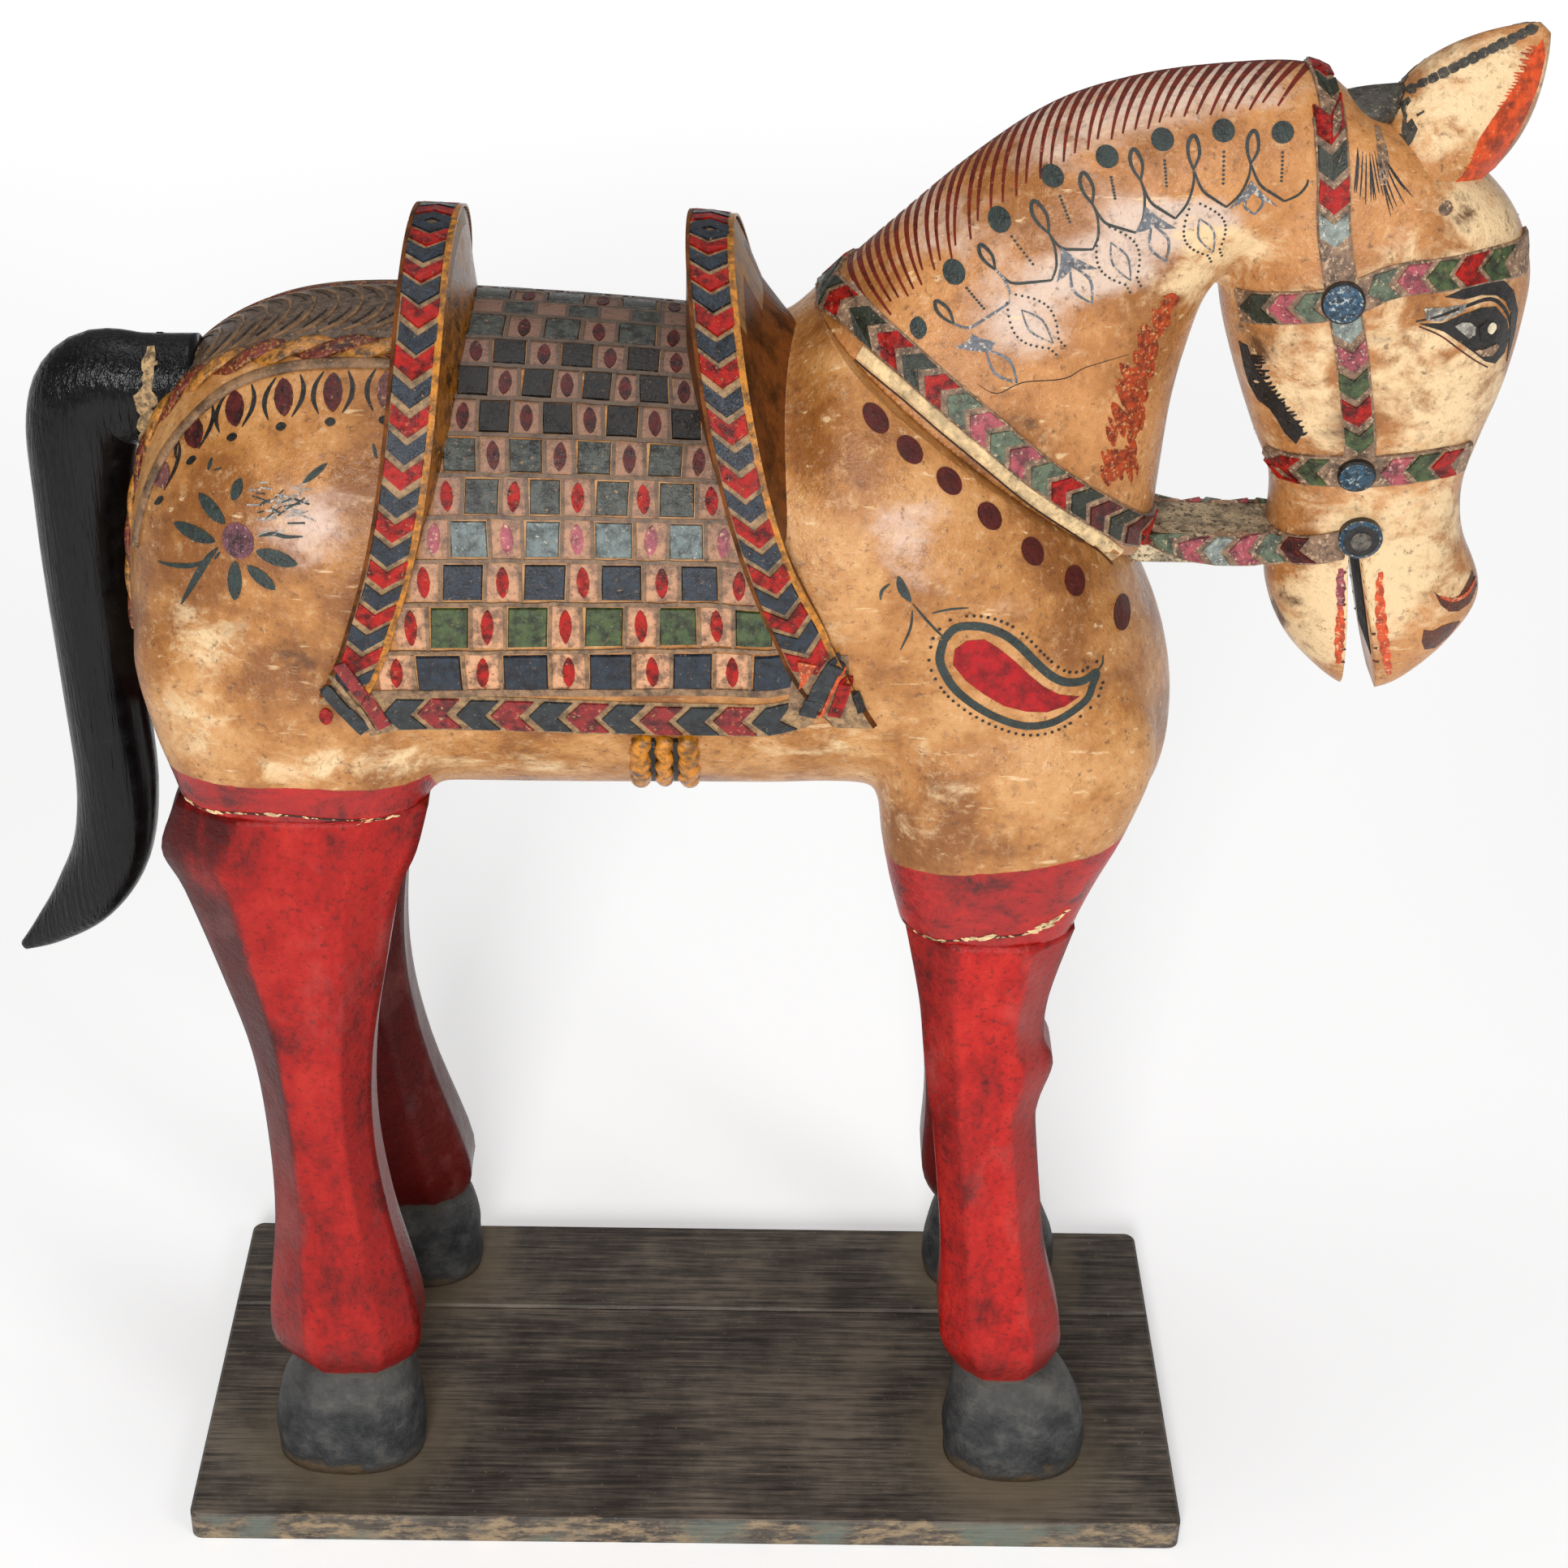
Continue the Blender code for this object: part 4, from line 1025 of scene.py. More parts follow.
flowers = bmesh.new()
for side in (-1, 1):
    on_flank = side_place(torso_skin, side)
    lay(flowers, FLOWER_HEART, on_flank, high=0.0006, slot=PLUM)
    for tip_x, tip_z, heel_x, heel_z, wide in in_mm(
        (-251.5, 699.5, -238, 688.5, 3.6), (-265.5, 682.5, -243.5, 679, 3.6),
        (-201, 672, -221.5, 677, 3.8), (-213, 658, -226.5, 669, 3.4),
        (-234.5, 650, -233, 670.5, 3.6), (-185, 720, -197, 711, 1.5),
        (-229, 710, -233.5, 700, 2.6),
    ):
        turn = math.atan2(-(tip_x - heel_x), tip_z - heel_z)
        long = math.hypot(tip_x - heel_x, tip_z - heel_z) / 2
        leaf = almond((tip_x + heel_x) / 2, (tip_z + heel_z) / 2, long * 1.04, wide * 1.06, turn)
        lay(flowers, leaf, on_flank, high=0.0006, step=0.006, slot=LEAF_GREEN)
    for *line, width in (
        in_mm((-242, 676), (-248, 669), (-256, 656), (-264, 642), (0.8, 4)),
        in_mm((-248, 669), (-256, 664.5), (-266, 662), (-276, 660.5), (0.6, 2.8)),
        in_mm((-241, 674), (-244, 670), (0.6, 1.6)),
        in_mm((-220, 684.5), (-213, 686.5), (-206, 685.5), (-197.5, 686.2), (0.6, 2.2)),
        in_mm((-162, 729), (-160, 722.5), (0.6, 2)),
        in_mm((-245, 716), (-247, 710.5), (0.6, 2.2)),
    ):
        brush(flowers, line, on_flank, width, slot=LEAF_GREEN)
    # Grey strokes over the flower: chalky paint and a painted sheen; a few are dark green.
    for i in range(46):
        x = -0.208 + chance.gauss(0, 0.0085)
        z = 0.701 + chance.gauss(0, 0.0055)
        lean = chance.uniform(-0.5, 0.9)
        reach = chance.uniform(0.0015, 0.0045)
        line = ((x - reach, z - reach * lean), (x + reach, z + reach * lean))
        width = 0.0006 + chance.uniform(0, 0.0005)
        brush(flowers, line, on_flank, width, slot=chance.choice((GREY_AND_SHEEN, GREY_AND_SHEEN, LEAF_GREEN)), steps=2)

    lay(flowers, PAISLEY_HEART, on_flank, high=0.0005, step=0.008, slot=PAISLEY_RED)
    brush(flowers, PAISLEY, on_flank, 0.0046, slot=LEAF_GREEN)
    outline = [Vector(point) for point in resampled(PAISLEY, 4)]
    run = 0.0
    for before, after in zip(outline, outline[1:]):
        way = after - before
        run += way.length
        if run > DOT_PITCH:
            run = 0.0
            u, v = after + Vector((-way.y, way.x)).normalized() * DOT_OUT
            lay(flowers, almond(u, v, 0.0009, 0.001, 0.0, 6), on_flank, high=0.0004, slot=SOOT_DOT)
    for *line, width in (
        in_mm((130, 636.5), (121, 646), (112, 657), (0.6, 1.4)),
        in_mm((111, 658), (106.5, 665), (104, 672), (1, 5)),
        in_mm((100, 668), (96, 664), (95.5, 659), (0.6, 1.8)),
        in_mm((112, 653), (111.5, 643), (107, 630), (0.5, 1.4)),
        in_mm((122, 651.5), (131, 653.5), (141, 654), (0.4, 1.2)),
        in_mm((212, 608.5), (215, 612), (215, 616), (0.6, 1.4)),
    ):
        brush(flowers, line, on_flank, width, slot=LEAF_GREEN)
    for index, (x, z) in enumerate(CHEST_OVALS):
        drop = almond(x, z, 0.008, 0.0047, 0.86 - 0.013 * index**2, 20, 1.0)
        lay(flowers, drop, on_flank, high=0.0006, step=0.006, slot=OVAL)
carried(new_object("painted_flowers", flowers, *FLOWER_PAINTS))


# ---------------------------------------------------------------- neck and head
# Neck and head are one carved block set on the sloping seat, painted ochre on the neck and cream on the face. A
# straight bar, carved with them, stands for the reins. The two ears are carved on back to back.
NECK_SQUARENESS = 2.15
HEAD_SQUARENESS = 2.3
HEAD_COUNT = 40
HEAD_GRID = 0.0022
HEAD_ROUNDING = 24
NECK = in_mm(
    (30, 745, 228, 600, 77), (68, 785, 245, 650, 74), (100, 817, 248, 682, 66), (139, 853, 250, 722, 58),
    (178, 881, 255, 757, 52), (218, 895, 264, 790, 48), (260, 902, 284, 808, 45), (304, 904, 316, 814, 41),
    (326, 890, 345, 820, 34),
)
HEAD = in_mm(
    (896, 298, 318, 20), (884, 288, 335, 34), (868, 279, 375, 43), (840, 271, 412, 49), (808, 268, 428, 53),
    (778, 271.5, 429, 53), (742, 283, 425, 50), (707, 297, 417, 43), (680, 309, 413, 38), (650, 311, 418, 36),
    (615, 314, 433, 36), (585, 327, 421, 31), (562, 349, 401, 23), (550, 365, 386, 10),
)
MOUTH_CUT = in_mm((350, 650), (357, 650), (381.5, 553), (393, 535), (364, 535))

cream_skin = varnished_paint("old_cream_paint", "#965E2A", "#B27640", "#C48850", "#E6C698", "#5E3C20", "#D0B6A4")

bm = bmesh.new()
sections = [(station[0:2], station[2:4], station[4]) for station in resampled(NECK, 4)]
loft(bm, [ring_between(crest, front, half, NECK_SQUARENESS, HEAD_COUNT) for crest, front, half in sections])
sections = resampled(HEAD, 4)
loft(bm, [ring_between((front, z), (back, z), d, HEAD_SQUARENESS, HEAD_COUNT) for z, back, front, d in sections])
head = melted(new_object("neck_and_head", bm), HEAD_GRID, HEAD_ROUNDING)
cut_flat(head, seat_mid + seat_up * GAP, -seat_up)
bm = bmesh.new()
loft(bm, [[(x, y, z) for x, z in MOUTH_CUT] for y in (-0.06, 0.06)])
saw = new_object("mouth_saw", bm)
cut = head.modifiers.new("mouth", "BOOLEAN")
cut.operation, cut.solver, cut.object = "DIFFERENCE", "EXACT", saw
settled(head)
bpy.data.objects.remove(saw)
# The dark patches darken the face and neck round the bands, eye and mouth and along the turned-away front of the
# forehead, partly as dirt and partly as painted shade; the pale tint patches along the neck are partly dulled varnish
# and partly a painted sheen.
aged(
    head,
    (
        (PALE, 0.4, 355, 790, 80, 60), (PALE, 0.32, 355, 690, 70, 60), (PALE, 0.44, 306, 745, 20, 36),
        (PALE, 0.44, 262, 780, 16, 44), (PALE, 0.3, 240, 815, 26, 26), (PALE, 0.36, 410, 850, 26, 40),
        (PALE, 0.44, 340, 590, 20, 30), (DIRT_AND_SHADE, 0.32, 150, 735, 70, 22), (DIRT_AND_SHADE, 0.24, 190, 710, 50, 22),
        (DIRT_AND_SHADE, 0.22, 130, 780, 30, 30), (PALE, 0.22, 392, 738, 36, 32), (PALE, 0.5, 392, 640, 50, 50),
        (PALE, 0.55, 345, 610, 40, 45), (PALE, 0.4, 385, 850, 40, 30), (PALE, 0.34, 275, 830, 30, 25),
        (PALE, 0.22, 190, 795, 50, 30), (PALE, 0.3, 400, 740, 30, 40), (DIRT_AND_SHADE, 0.32, 322, 632, 12, 12),
        (DIRT_AND_SHADE, 0.3, 325, 646, 8, 5), (DIRT_AND_SHADE, 0.3, 327, 613, 9, 6), (DIRT_AND_SHADE, 0.32, 340, 586, 7, 5),
        (DIRT_AND_SHADE, 0.2, 357, 762, 14, 14), (DIRT_AND_SHADE, 0.26, 300, 765, 14, 16), (DIRT_AND_SHADE, 0.4, 320, 600, 10, 20),
        (DIRT_AND_SHADE, 0.36, 352, 575, 16, 10), (DIRT_AND_SHADE, 0.34, 335, 598, 16, 22), (DIRT_AND_SHADE, 0.34, 288, 765, 8, 40),
        (DIRT_AND_SHADE, 0.3, 343, 784, 30, 8), (DIRT_AND_SHADE, 0.3, 345, 676, 40, 6), (DIRT_AND_SHADE, 0.32, 355, 727, 30, 12),
        (DIRT_AND_SHADE, 0.36, 376, 838, 30, 12), (DIRT_AND_SHADE, 0.34, 420, 845, 14, 30), (DIRT_AND_SHADE, 0.36, 275, 790, 16, 30),
        (DIRT_AND_SHADE, 0.34, 340, 735, 20, 16), (DIRT_AND_SHADE, 0.3, 430, 840, 12, 60), (DIRT_AND_SHADE, 0.26, 350, 690, 60, 12),
        (DIRT_AND_SHADE, 0.24, 375, 852, 30, 14), (DIRT_AND_SHADE, 0.26, 232, 690, 30, 30), (DULLING_AND_GLARE, 0.6, 100, 830, 60, 30),
        (DULLING_AND_GLARE, 0.65, 170, 880, 50, 24), (DULLING_AND_GLARE, 0.7, 250, 902, 60, 18), (DULLING_AND_GLARE, 0.75, 165, 788, 30, 20),
        (DULLING_AND_GLARE, 0.8, 200, 815, 34, 14), (DULLING_AND_GLARE, 0.7, 245, 842, 36, 12), (DULLING_AND_GLARE, 0.45, 225, 835, 40, 20),
        (DULLING_AND_GLARE, 0.5, 290, 750, 16, 30), (DULLING_AND_GLARE, 0.4, 345, 835, 24, 16),
    ),
)
head.data.materials.append(cream_skin)
carried(head, "neck_and_head")

bm = bmesh.new()
bmesh.ops.create_cube(bm, size=1.0)
bar_low, bar_high = Vector((0.225, -0.02, 0.6335)), Vector((0.325, 0.02, 0.6515))
bmesh.ops.transform(
    bm,
    matrix=Matrix.Translation((bar_low + bar_high) / 2) @ Matrix.Diagonal((*(bar_high - bar_low), 1.0)),
    verts=bm.verts,
)
bmesh.ops.bevel(bm, geom=bm.edges, offset=0.0022, segments=3, profile=0.5, affect="EDGES", material=-1)
bar_stain = coloured("stained_cream_paint", "#D8C4A0", "#4A3826", chips=0.16, gloss=0.42, cloud=10, dim=0.62)
rein_bar = carried(new_object("rein_bar", bm, bar_stain))
horse_skin = skin_tree(torso, head, rein_bar)

EAR_ROOT = (0.348, 0.842)
EAR_TIP = (0.417, 0.926)
EAR_HALF_WIDTH = 0.0335
EAR_BULGE = 0.049
EAR_RIM = 0.0055
root = Vector((EAR_ROOT[0], 0, EAR_ROOT[1]))
along = Vector((EAR_TIP[0], 0, EAR_TIP[1])) - root
across_way = Vector((-along.z, 0, along.x)).normalized()
rings = []
for step in range(33):
    share = step / 32
    width = EAR_HALF_WIDTH * math.sin(math.pi * (0.1 + 0.88 * share)) ** 0.8
    bulge = EAR_RIM + (EAR_BULGE - EAR_RIM) * (1 - share) ** 1.1
    ring = []
    for corner in range(48):
        side, up = oval(2 * math.pi * corner / 48, 1.9)
        groove = 1 - 0.1 * max(up - 0.9, 0) / 0.1 * (1 - share)
        point = root + along * share + across_way * up * width * groove
        ring.append((point.x, side * bulge, point.z))
    rings.append(ring)
bm = bmesh.new()
loft(bm, rings)
ears = new_object("ears", bm, cream_skin)
ears.data.shade_smooth()
# The dark patches at the ear's root are painted shade where ear, forelock and head meet.
aged(
    ears,
    (
        (PALE, 0.8, 392, 900, 40, 30), (PALE, 0.45, 360, 875, 20, 20), (DIRT_AND_SHADE, 0.4, 345, 868, 14, 14),
        (DIRT_AND_SHADE, 0.22, 372, 862, 24, 10),
    ),
)
ear_skin = skin_tree(ears)
carried(ears)


# ---------------------------------------------------------------- harness bands
# Raised bands are carved on neck and head as the horse's harness: a collar that runs on along the reins, a cheek
# strap, a brow band and a nose band. Each has a worn brown rim and a row of arrows, dark green and red by turns.
# Round bosses of blue and black sit where they cross. A chamfer of bare wood shows along the neck's joint.
# Small patches of faded house paint, chipped to cream. The chamfer is bare wood, with a dark line along its foot
# that is dirt in the seam and a painted shadow under its edge.
band_brown = coloured("band_brown_paint", "#8E7058", "#C4A484", chips=0.15, dim=0.62)
rose = coloured("rose_paint", "#A84A54", "#CCAC98", chips=0.12, gloss=0.26, dim=0.6)
sage = coloured("sage_paint", "#5E6A54", "#B8A888", gloss=0.22, dim=0.6)
dark_green = coloured("dark_green_paint", "#2C3226", "#8A7250", chips=0.08, gloss=0.24, dim=0.6)
pale_glaze = coloured("pale_glaze_paint", "#8A948C", "#D0C8B8", chips=0.12, gloss=0.16, dim=0.7)
bare_wood = coloured("bare_wood", "#F2D09C", "#9A6A3A", chips=0.07, gloss=0.6, cloud=10, dim=0.76)
dark_seam_and_shadow = coloured("dirt_and_shadow_in_seam", "#3E2616", "#6A4426", gloss=0.6)
HARNESS = (band_brown, dark_green, red, green, rose, sage, maroon, pale_glaze, pale, bare_wood, dark_seam_and_shadow)
BAND, DARK_GREEN, RED, GREEN, ROSE, SAGE, MAROON, PALE_GLAZE, PALE_TAN, BARE_WOOD, SHADOWED_JOINT = range(11)


def raised_band(bm, points, place, half, height, slot=0, rim=0.0012):
    """Carves a raised band along a drawn line, with a rounded rim."""
    on_band, length = path_place(points, place)
    rings = []
    count = max(int(length / 0.004), 3)
    offsets = (-half, -half, -half + rim, -half / 3, half / 3, half - rim, half, half)
    lifts = (-0.0015, height - 0.0007, height, height, height, height, height - 0.0007, -0.0015)
    for i in range(count + 1):
        spots = [on_band(length * i / count, across) for across in offsets]
        rings.append([point + normal * lift for (point, normal), lift in zip(spots, lifts)])
    add_loft(bm, rings, slot)
    return on_band, length


def neck_place(skin, side):
    """For shapes drawn on the neck: station along its crest, and angle from the crest down one side."""

    def found(station, angle):
        crest_x, crest_z, front_x, front_z, half = spline(NECK, station)
        crest, front = Vector((crest_x, 0, crest_z)), Vector((front_x, 0, front_z))
        across, up = oval(angle, NECK_SQUARENESS)
        middle = (crest + front) / 2
        rim = middle + up * (crest - front) / 2 + Vector((0, side * across * half, 0))
        way = (middle - rim).normalized()
        hit, normal, _, _ = skin.ray_cast(rim - way * 0.03, way)
        return (rim, -way) if hit is None else (hit, normal)

    return found


harness = bmesh.new()
on_crest = neck_place(horse_skin, 1)
for station, lean, half_round, half, slots, tip in (
    (0.93, 0.265, 0.074, 0.0086, (DARK_GREEN, RED), -1),
    (7.12, 0.05, 0.041, 0.0081, (RED, DARK_GREEN), 1),
):

    def over_crest(along, across):
        return on_crest(station + (lean * abs(along) + across) / 0.0435, along / half_round)

    raised_band(harness, ((-0.034, 0), (0.034, 0)), over_crest, half, 0.0022)
    for way in (-1, 1):
        for index, slot in enumerate(slots):
            shape = arrow(way * (0.004 + 0.0145 * index), 0, half - 0.0008, way * tip * 0.0104, way * tip * 0.0062)
            lay(harness, shape, over_crest, high=0.0033, low=0.0008, slot=slot, shrink=0.93)
CHAMFER = in_mm((83, 767), (106, 753.5), (127, 738), (148, 721.5), (172, 701), (198, 680), (213, 666), (224, 653))
COLLAR = in_mm(
    (76, 785), (91, 777.5), (108, 767), (129, 751.5), (150, 735), (175, 713.5), (201, 693), (218, 679), (235, 663),
    (256, 649), (275, 643.5), (300, 643), (325, 647), (348, 656),
)
CHEEK_STRAP = in_mm(
    (308.5, 890), (313, 860), (316, 835), (324, 802), (332.5, 772), (339, 745), (345, 719), (346.5, 702),
)
BROW_BAND = in_mm((277.5, 788), (296, 793.5), (324, 801), (348, 813), (378, 816.5), (398, 818.5), (420, 816.5))
NOSE_BAND = in_mm((303.5, 696), (316, 698), (332, 701), (346, 702), (361, 703.5), (387, 706), (406, 705.5))
COLLAR_ORDER = (1, 2, 1, 2, 5, 4, 5, 4, 5, 2, 1, 6, 1, 6, 2, 5, 4, 7, 4, 5, 6, 1)
# Each band: its line, half width and height, then its rows of arrows as (start, end, half width, pitch, paints,
# way they point, arm, lean). An end below zero is measured back from the band's end.
BANDS = (
    (COLLAR, 0.0086, 0.0024, ((0.003, -0.012, 0.0078, 0.0142, COLLAR_ORDER, -1, 0.0104, 0.007),)),
    (
        CHEEK_STRAP, 0.0081, 0.0024,
        (
            (-0.001, 0.08, 0.0074, 0.0164, (RED, DARK_GREEN, RED, PALE_GLAZE, ROSE), 1, 0.0122, 0.0062),
            (0.098, -0.008, 0.0074, 0.0165, (PALE_GLAZE, ROSE, GREEN, RED, GREEN), 1, 0.0118, 0.0066),
        ),
    ),
    (
        BROW_BAND, 0.0086, 0.0024,
        (
            (0.001, 0.038, 0.0078, 0.0122, (DARK_GREEN, ROSE, SAGE), -1, 0.009, 0.0064),
            (0.06, -0.004, 0.0078, 0.0146, (SAGE, ROSE, GREEN, RED, GREEN, DARK_GREEN), -1, 0.0112, 0.0064),
        ),
    ),
    (
        NOSE_BAND, 0.0098, 0.0026,
        (
            (0.001, 0.032, 0.0088, 0.013, (RED, GREEN, ROSE), -1, 0.0096, 0.0064),
            (0.054, -0.003, 0.0088, 0.0136, (ROSE, GREEN, RED, GREEN), -1, 0.0104, 0.0064),
        ),
    ),
)
for side in (-1, 1):
    on_side = side_place(horse_skin, side)
    raised_band(harness, CHAMFER, on_side, 0.0038, 0.0016, BARE_WOOD)
    # The dark line just below the chamfer is dirt in the joint and a painted shadow under its edge.
    brush(harness, [(x - 0.0027, z - 0.0036) for x, z in CHAMFER], on_side, 0.001, slot=SHADOWED_JOINT, steps=8)
    for line, half, height, rows in BANDS:
        on_band, length = raised_band(harness, line, on_side, half, height)
        for start, end, half, pitch, slots, way, arm, lean in rows:
            count = int(((end if end > 0 else length + end) - start) / pitch)
            for index in range(count):
                at = start + (index + 0.5) * pitch + stray(0.0005)
                off_middle = stray(0.0005)
                shape = arrow(at, off_middle, half, way * (arm + stray(0.0006)), way * lean)
                slot = slots[index % len(slots)]
                lay(harness, shape, on_band, high=height + 0.0011, low=height - 0.0012, slot=slot, shrink=0.93)
carried(new_object("harness_bands", harness, *HARNESS))


def turned(bm, centre, way, profile, slots, count=28):
    """Turns a round boss on a lathe: profile is (radius, height) pairs from foot to top, with a paint for each step."""
    up = Vector(way).normalized()
    side = up.orthogonal().normalized()
    other = up.cross(side)
    for index, slot in enumerate(slots):
        rings = []
        for radius, height in (profile[index], profile[index + 1]):
            rings.append(circle(centre + up * height, side, other, radius, count))
        add_loft(bm, rings, slot)


# Thick glassy glaze, crazed with pale specks.
blue_glaze = coloured("blue_glaze", "#2E5068", "#B4BCBA", chips=0.14, gloss=0.12, cloud=3, dim=0.35)
deep_blue = coloured("deep_blue_glaze", "#22485E", "#A8B4B4", chips=0.12, gloss=0.12, cloud=3, dim=0.35)
boss_grey = coloured("boss_grey", "#6A6258", "#3A3430", cloud=3)
bosses = bmesh.new()
for side in (-1, 1):
    on_side = side_place(horse_skin, side)
    for x, z, size, inner in ((0.324, 0.802, 0.011, 1), (0.346, 0.702, 0.01, 2)):
        point, normal = on_side(x, z)
        profile = ((size, -0.002), (size, 0.0052), (size * 0.9, 0.0062), (size * 0.5, 0.0078), (size * 0.1, 0.0084))
        turned(bosses, point, normal, profile, (0, 0, inner, inner))
    point, normal = on_side(0.3545, 0.661)
    turned(bosses, point, normal, ((0.0116, -0.002), (0.0116, 0.0045), (0.0094, 0.006), (0.007, 0.0062)), (0, 1, 0))
    turned(bosses, point, normal, ((0.006, 0.0), (0.0055, 0.0066)), (3,))
carried(new_object("bridle_bosses", bosses, soot, blue_glaze, deep_blue, boss_grey))


# ---------------------------------------------------------------- painted face and mane
# The eyes are large almonds in black with a thick brow, and black, orange and brown strokes mark jaw, lips and
# nostrils. Maroon brush strokes stand for the mane, above a looped garland with hanging dots.
# Black and orange strokes that stay crisp on the cream. Only the pupils and the mouth are near true black.
eye_white = coloured("eye_white_paint", "#98948A", "#D8C8B0", chips=0.14, gloss=0.2, dim=0.6)
glint = coloured("eye_glint_paint", "#F0E0C0", "#C8A878", gloss=0.3, dim=0.85)
lip_orange = coloured("lip_orange_paint", "#D8501E", "#E4B888", chips=0.13, gloss=0.26, dim=0.72)
ear_orange = coloured("ear_orange_paint", "#DC4E16", "#E8A868", chips=0.06, cloud=8, dim=0.66)
nostril_brown = coloured("nostril_brown_paint", "#5E2C18", "#A0643C", gloss=0.26, dim=0.7)
smoke = coloured("smoke_grey_paint", "#48443C", "#8A7A64", chips=0.12, gloss=0.36, dim=0.6)
pupil = coloured("pupil_paint", "#0E0D0C", "#4A4038", chips=0.03, gloss=0.14, dim=0.6)
dark_mouth_and_shadow = coloured("dark_mouth_paint_and_shadow", "#0B0A09", "#2A2420", chips=0.03, gloss=0.5, dim=0.6, shine=0.05)
FACE_PAINTS = (soot, eye_white, glint, nostril_brown, lip_orange, ear_orange, band_brown, rose, maroon, pupil, smoke)
BLACK, WHITE, GLINT, NOSTRIL, LIP, EAR, TAN, ROSE, MAROON, PUPIL, SMOKE = range(11)

EAR_RED = in_mm(
    (414.5, 922.5), (417.2, 914), (416, 900), (412, 886), (406, 872), (400, 858), (391, 854), (380, 853),
    (371, 855), (379, 860), (383.5, 868), (386, 878), (393, 888), (399, 896), (406, 906), (410, 916),
)
# Each flat shape of the face: its height and the step that cuts it, in mm, then its paint and its outline.
EYE_SHAPE = (
    (364, 790.5), (376, 790.5), (386, 794.5), (396, 797), (404, 796), (412, 787), (416.5, 776), (415, 767),
    (410, 762.5), (403, 766), (396, 772), (389, 777.5), (377, 786),
)
EYE_WHITE = ((382.5, 788.5), (386, 790.2), (390.5, 789.8), (394, 786.8), (394.5, 782.5), (391.5, 780.8), (387, 784.5))
EYE_LOW = ((395.5, 773.5), (401, 769), (407, 768), (410.5, 772), (408.5, 774.5), (402, 773))
EYE_PUPIL = ((396, 786), (400, 789.5), (405, 787), (407.5, 780), (404, 776), (398.5, 778.5))
BROW = (
    (375, 804.5), (384, 808), (394.5, 810.5), (405.5, 810), (413.5, 802), (419, 789), (420, 775), (418.5, 760),
    (416.5, 775), (414, 790), (409.5, 797.5), (403, 802.2), (394.5, 803.8), (385.5, 802.5),
)
BROW_WHITE = ((365, 799), (376, 799), (387, 800), (386.5, 796), (374.5, 791.5), (367, 792.5))
JAW_STROKE = (
    (280, 766), (283.5, 766), (286, 760), (289, 754), (294, 748), (298.5, 743), (304.5, 737), (306.5, 733),
    (308.5, 732), (315.5, 724.5), (316, 722.5), (314, 714), (307.5, 719.5), (303, 726.5), (298.5, 732),
    (293, 734.5), (288, 742), (284.5, 751),
)
NOSTRIL_SHAPE = (
    (400.5, 625.5), (405.5, 621.5), (411, 619.5), (416, 620.5), (420.5, 626), (424, 630), (428.5, 620), (424, 613),
    (417, 610.5), (411, 612), (405.5, 617),
)
LIP_SMUDGE = (
    (398.5, 601.5), (404, 600), (409, 602.5), (415, 603), (420.5, 601.5), (416.5, 592), (409, 585), (402, 586.5),
    (399, 593),
)
FACE_SHAPES = (
    (0.5, 6, BLACK, EYE_SHAPE), (0.8, 0, WHITE, EYE_WHITE), (0.8, 0, TAN, EYE_LOW), (0.8, 0, PUPIL, EYE_PUPIL),
    (0.5, 8, BLACK, BROW), (0.4, 0, WHITE, BROW_WHITE), (0.5, 8, BLACK, JAW_STROKE),
    (0.5, 6, NOSTRIL, NOSTRIL_SHAPE), (0.4, 6, NOSTRIL, LIP_SMUDGE),
)
# Each line of the face: its height, its width at the ends and in the middle, in mm, then its paint and its points.
LID = ((362, 791.8), (374, 794.5), (386, 798.5), (400, 800.8), (410, 793), (416.5, 780), (418, 768))
FACE_LINES = (
    (0.3, 0.8, 2.0, BLACK, LID),
    (0.3, 0.8, 0.8, MAROON, ((364, 789), (376, 783.5), (388, 774.5), (398, 767), (406, 761.5))),
    (0.8, 0.6, 2.4, LIP, ((404, 622.5), (412, 619), (421, 620), (426.5, 625.5))),
)

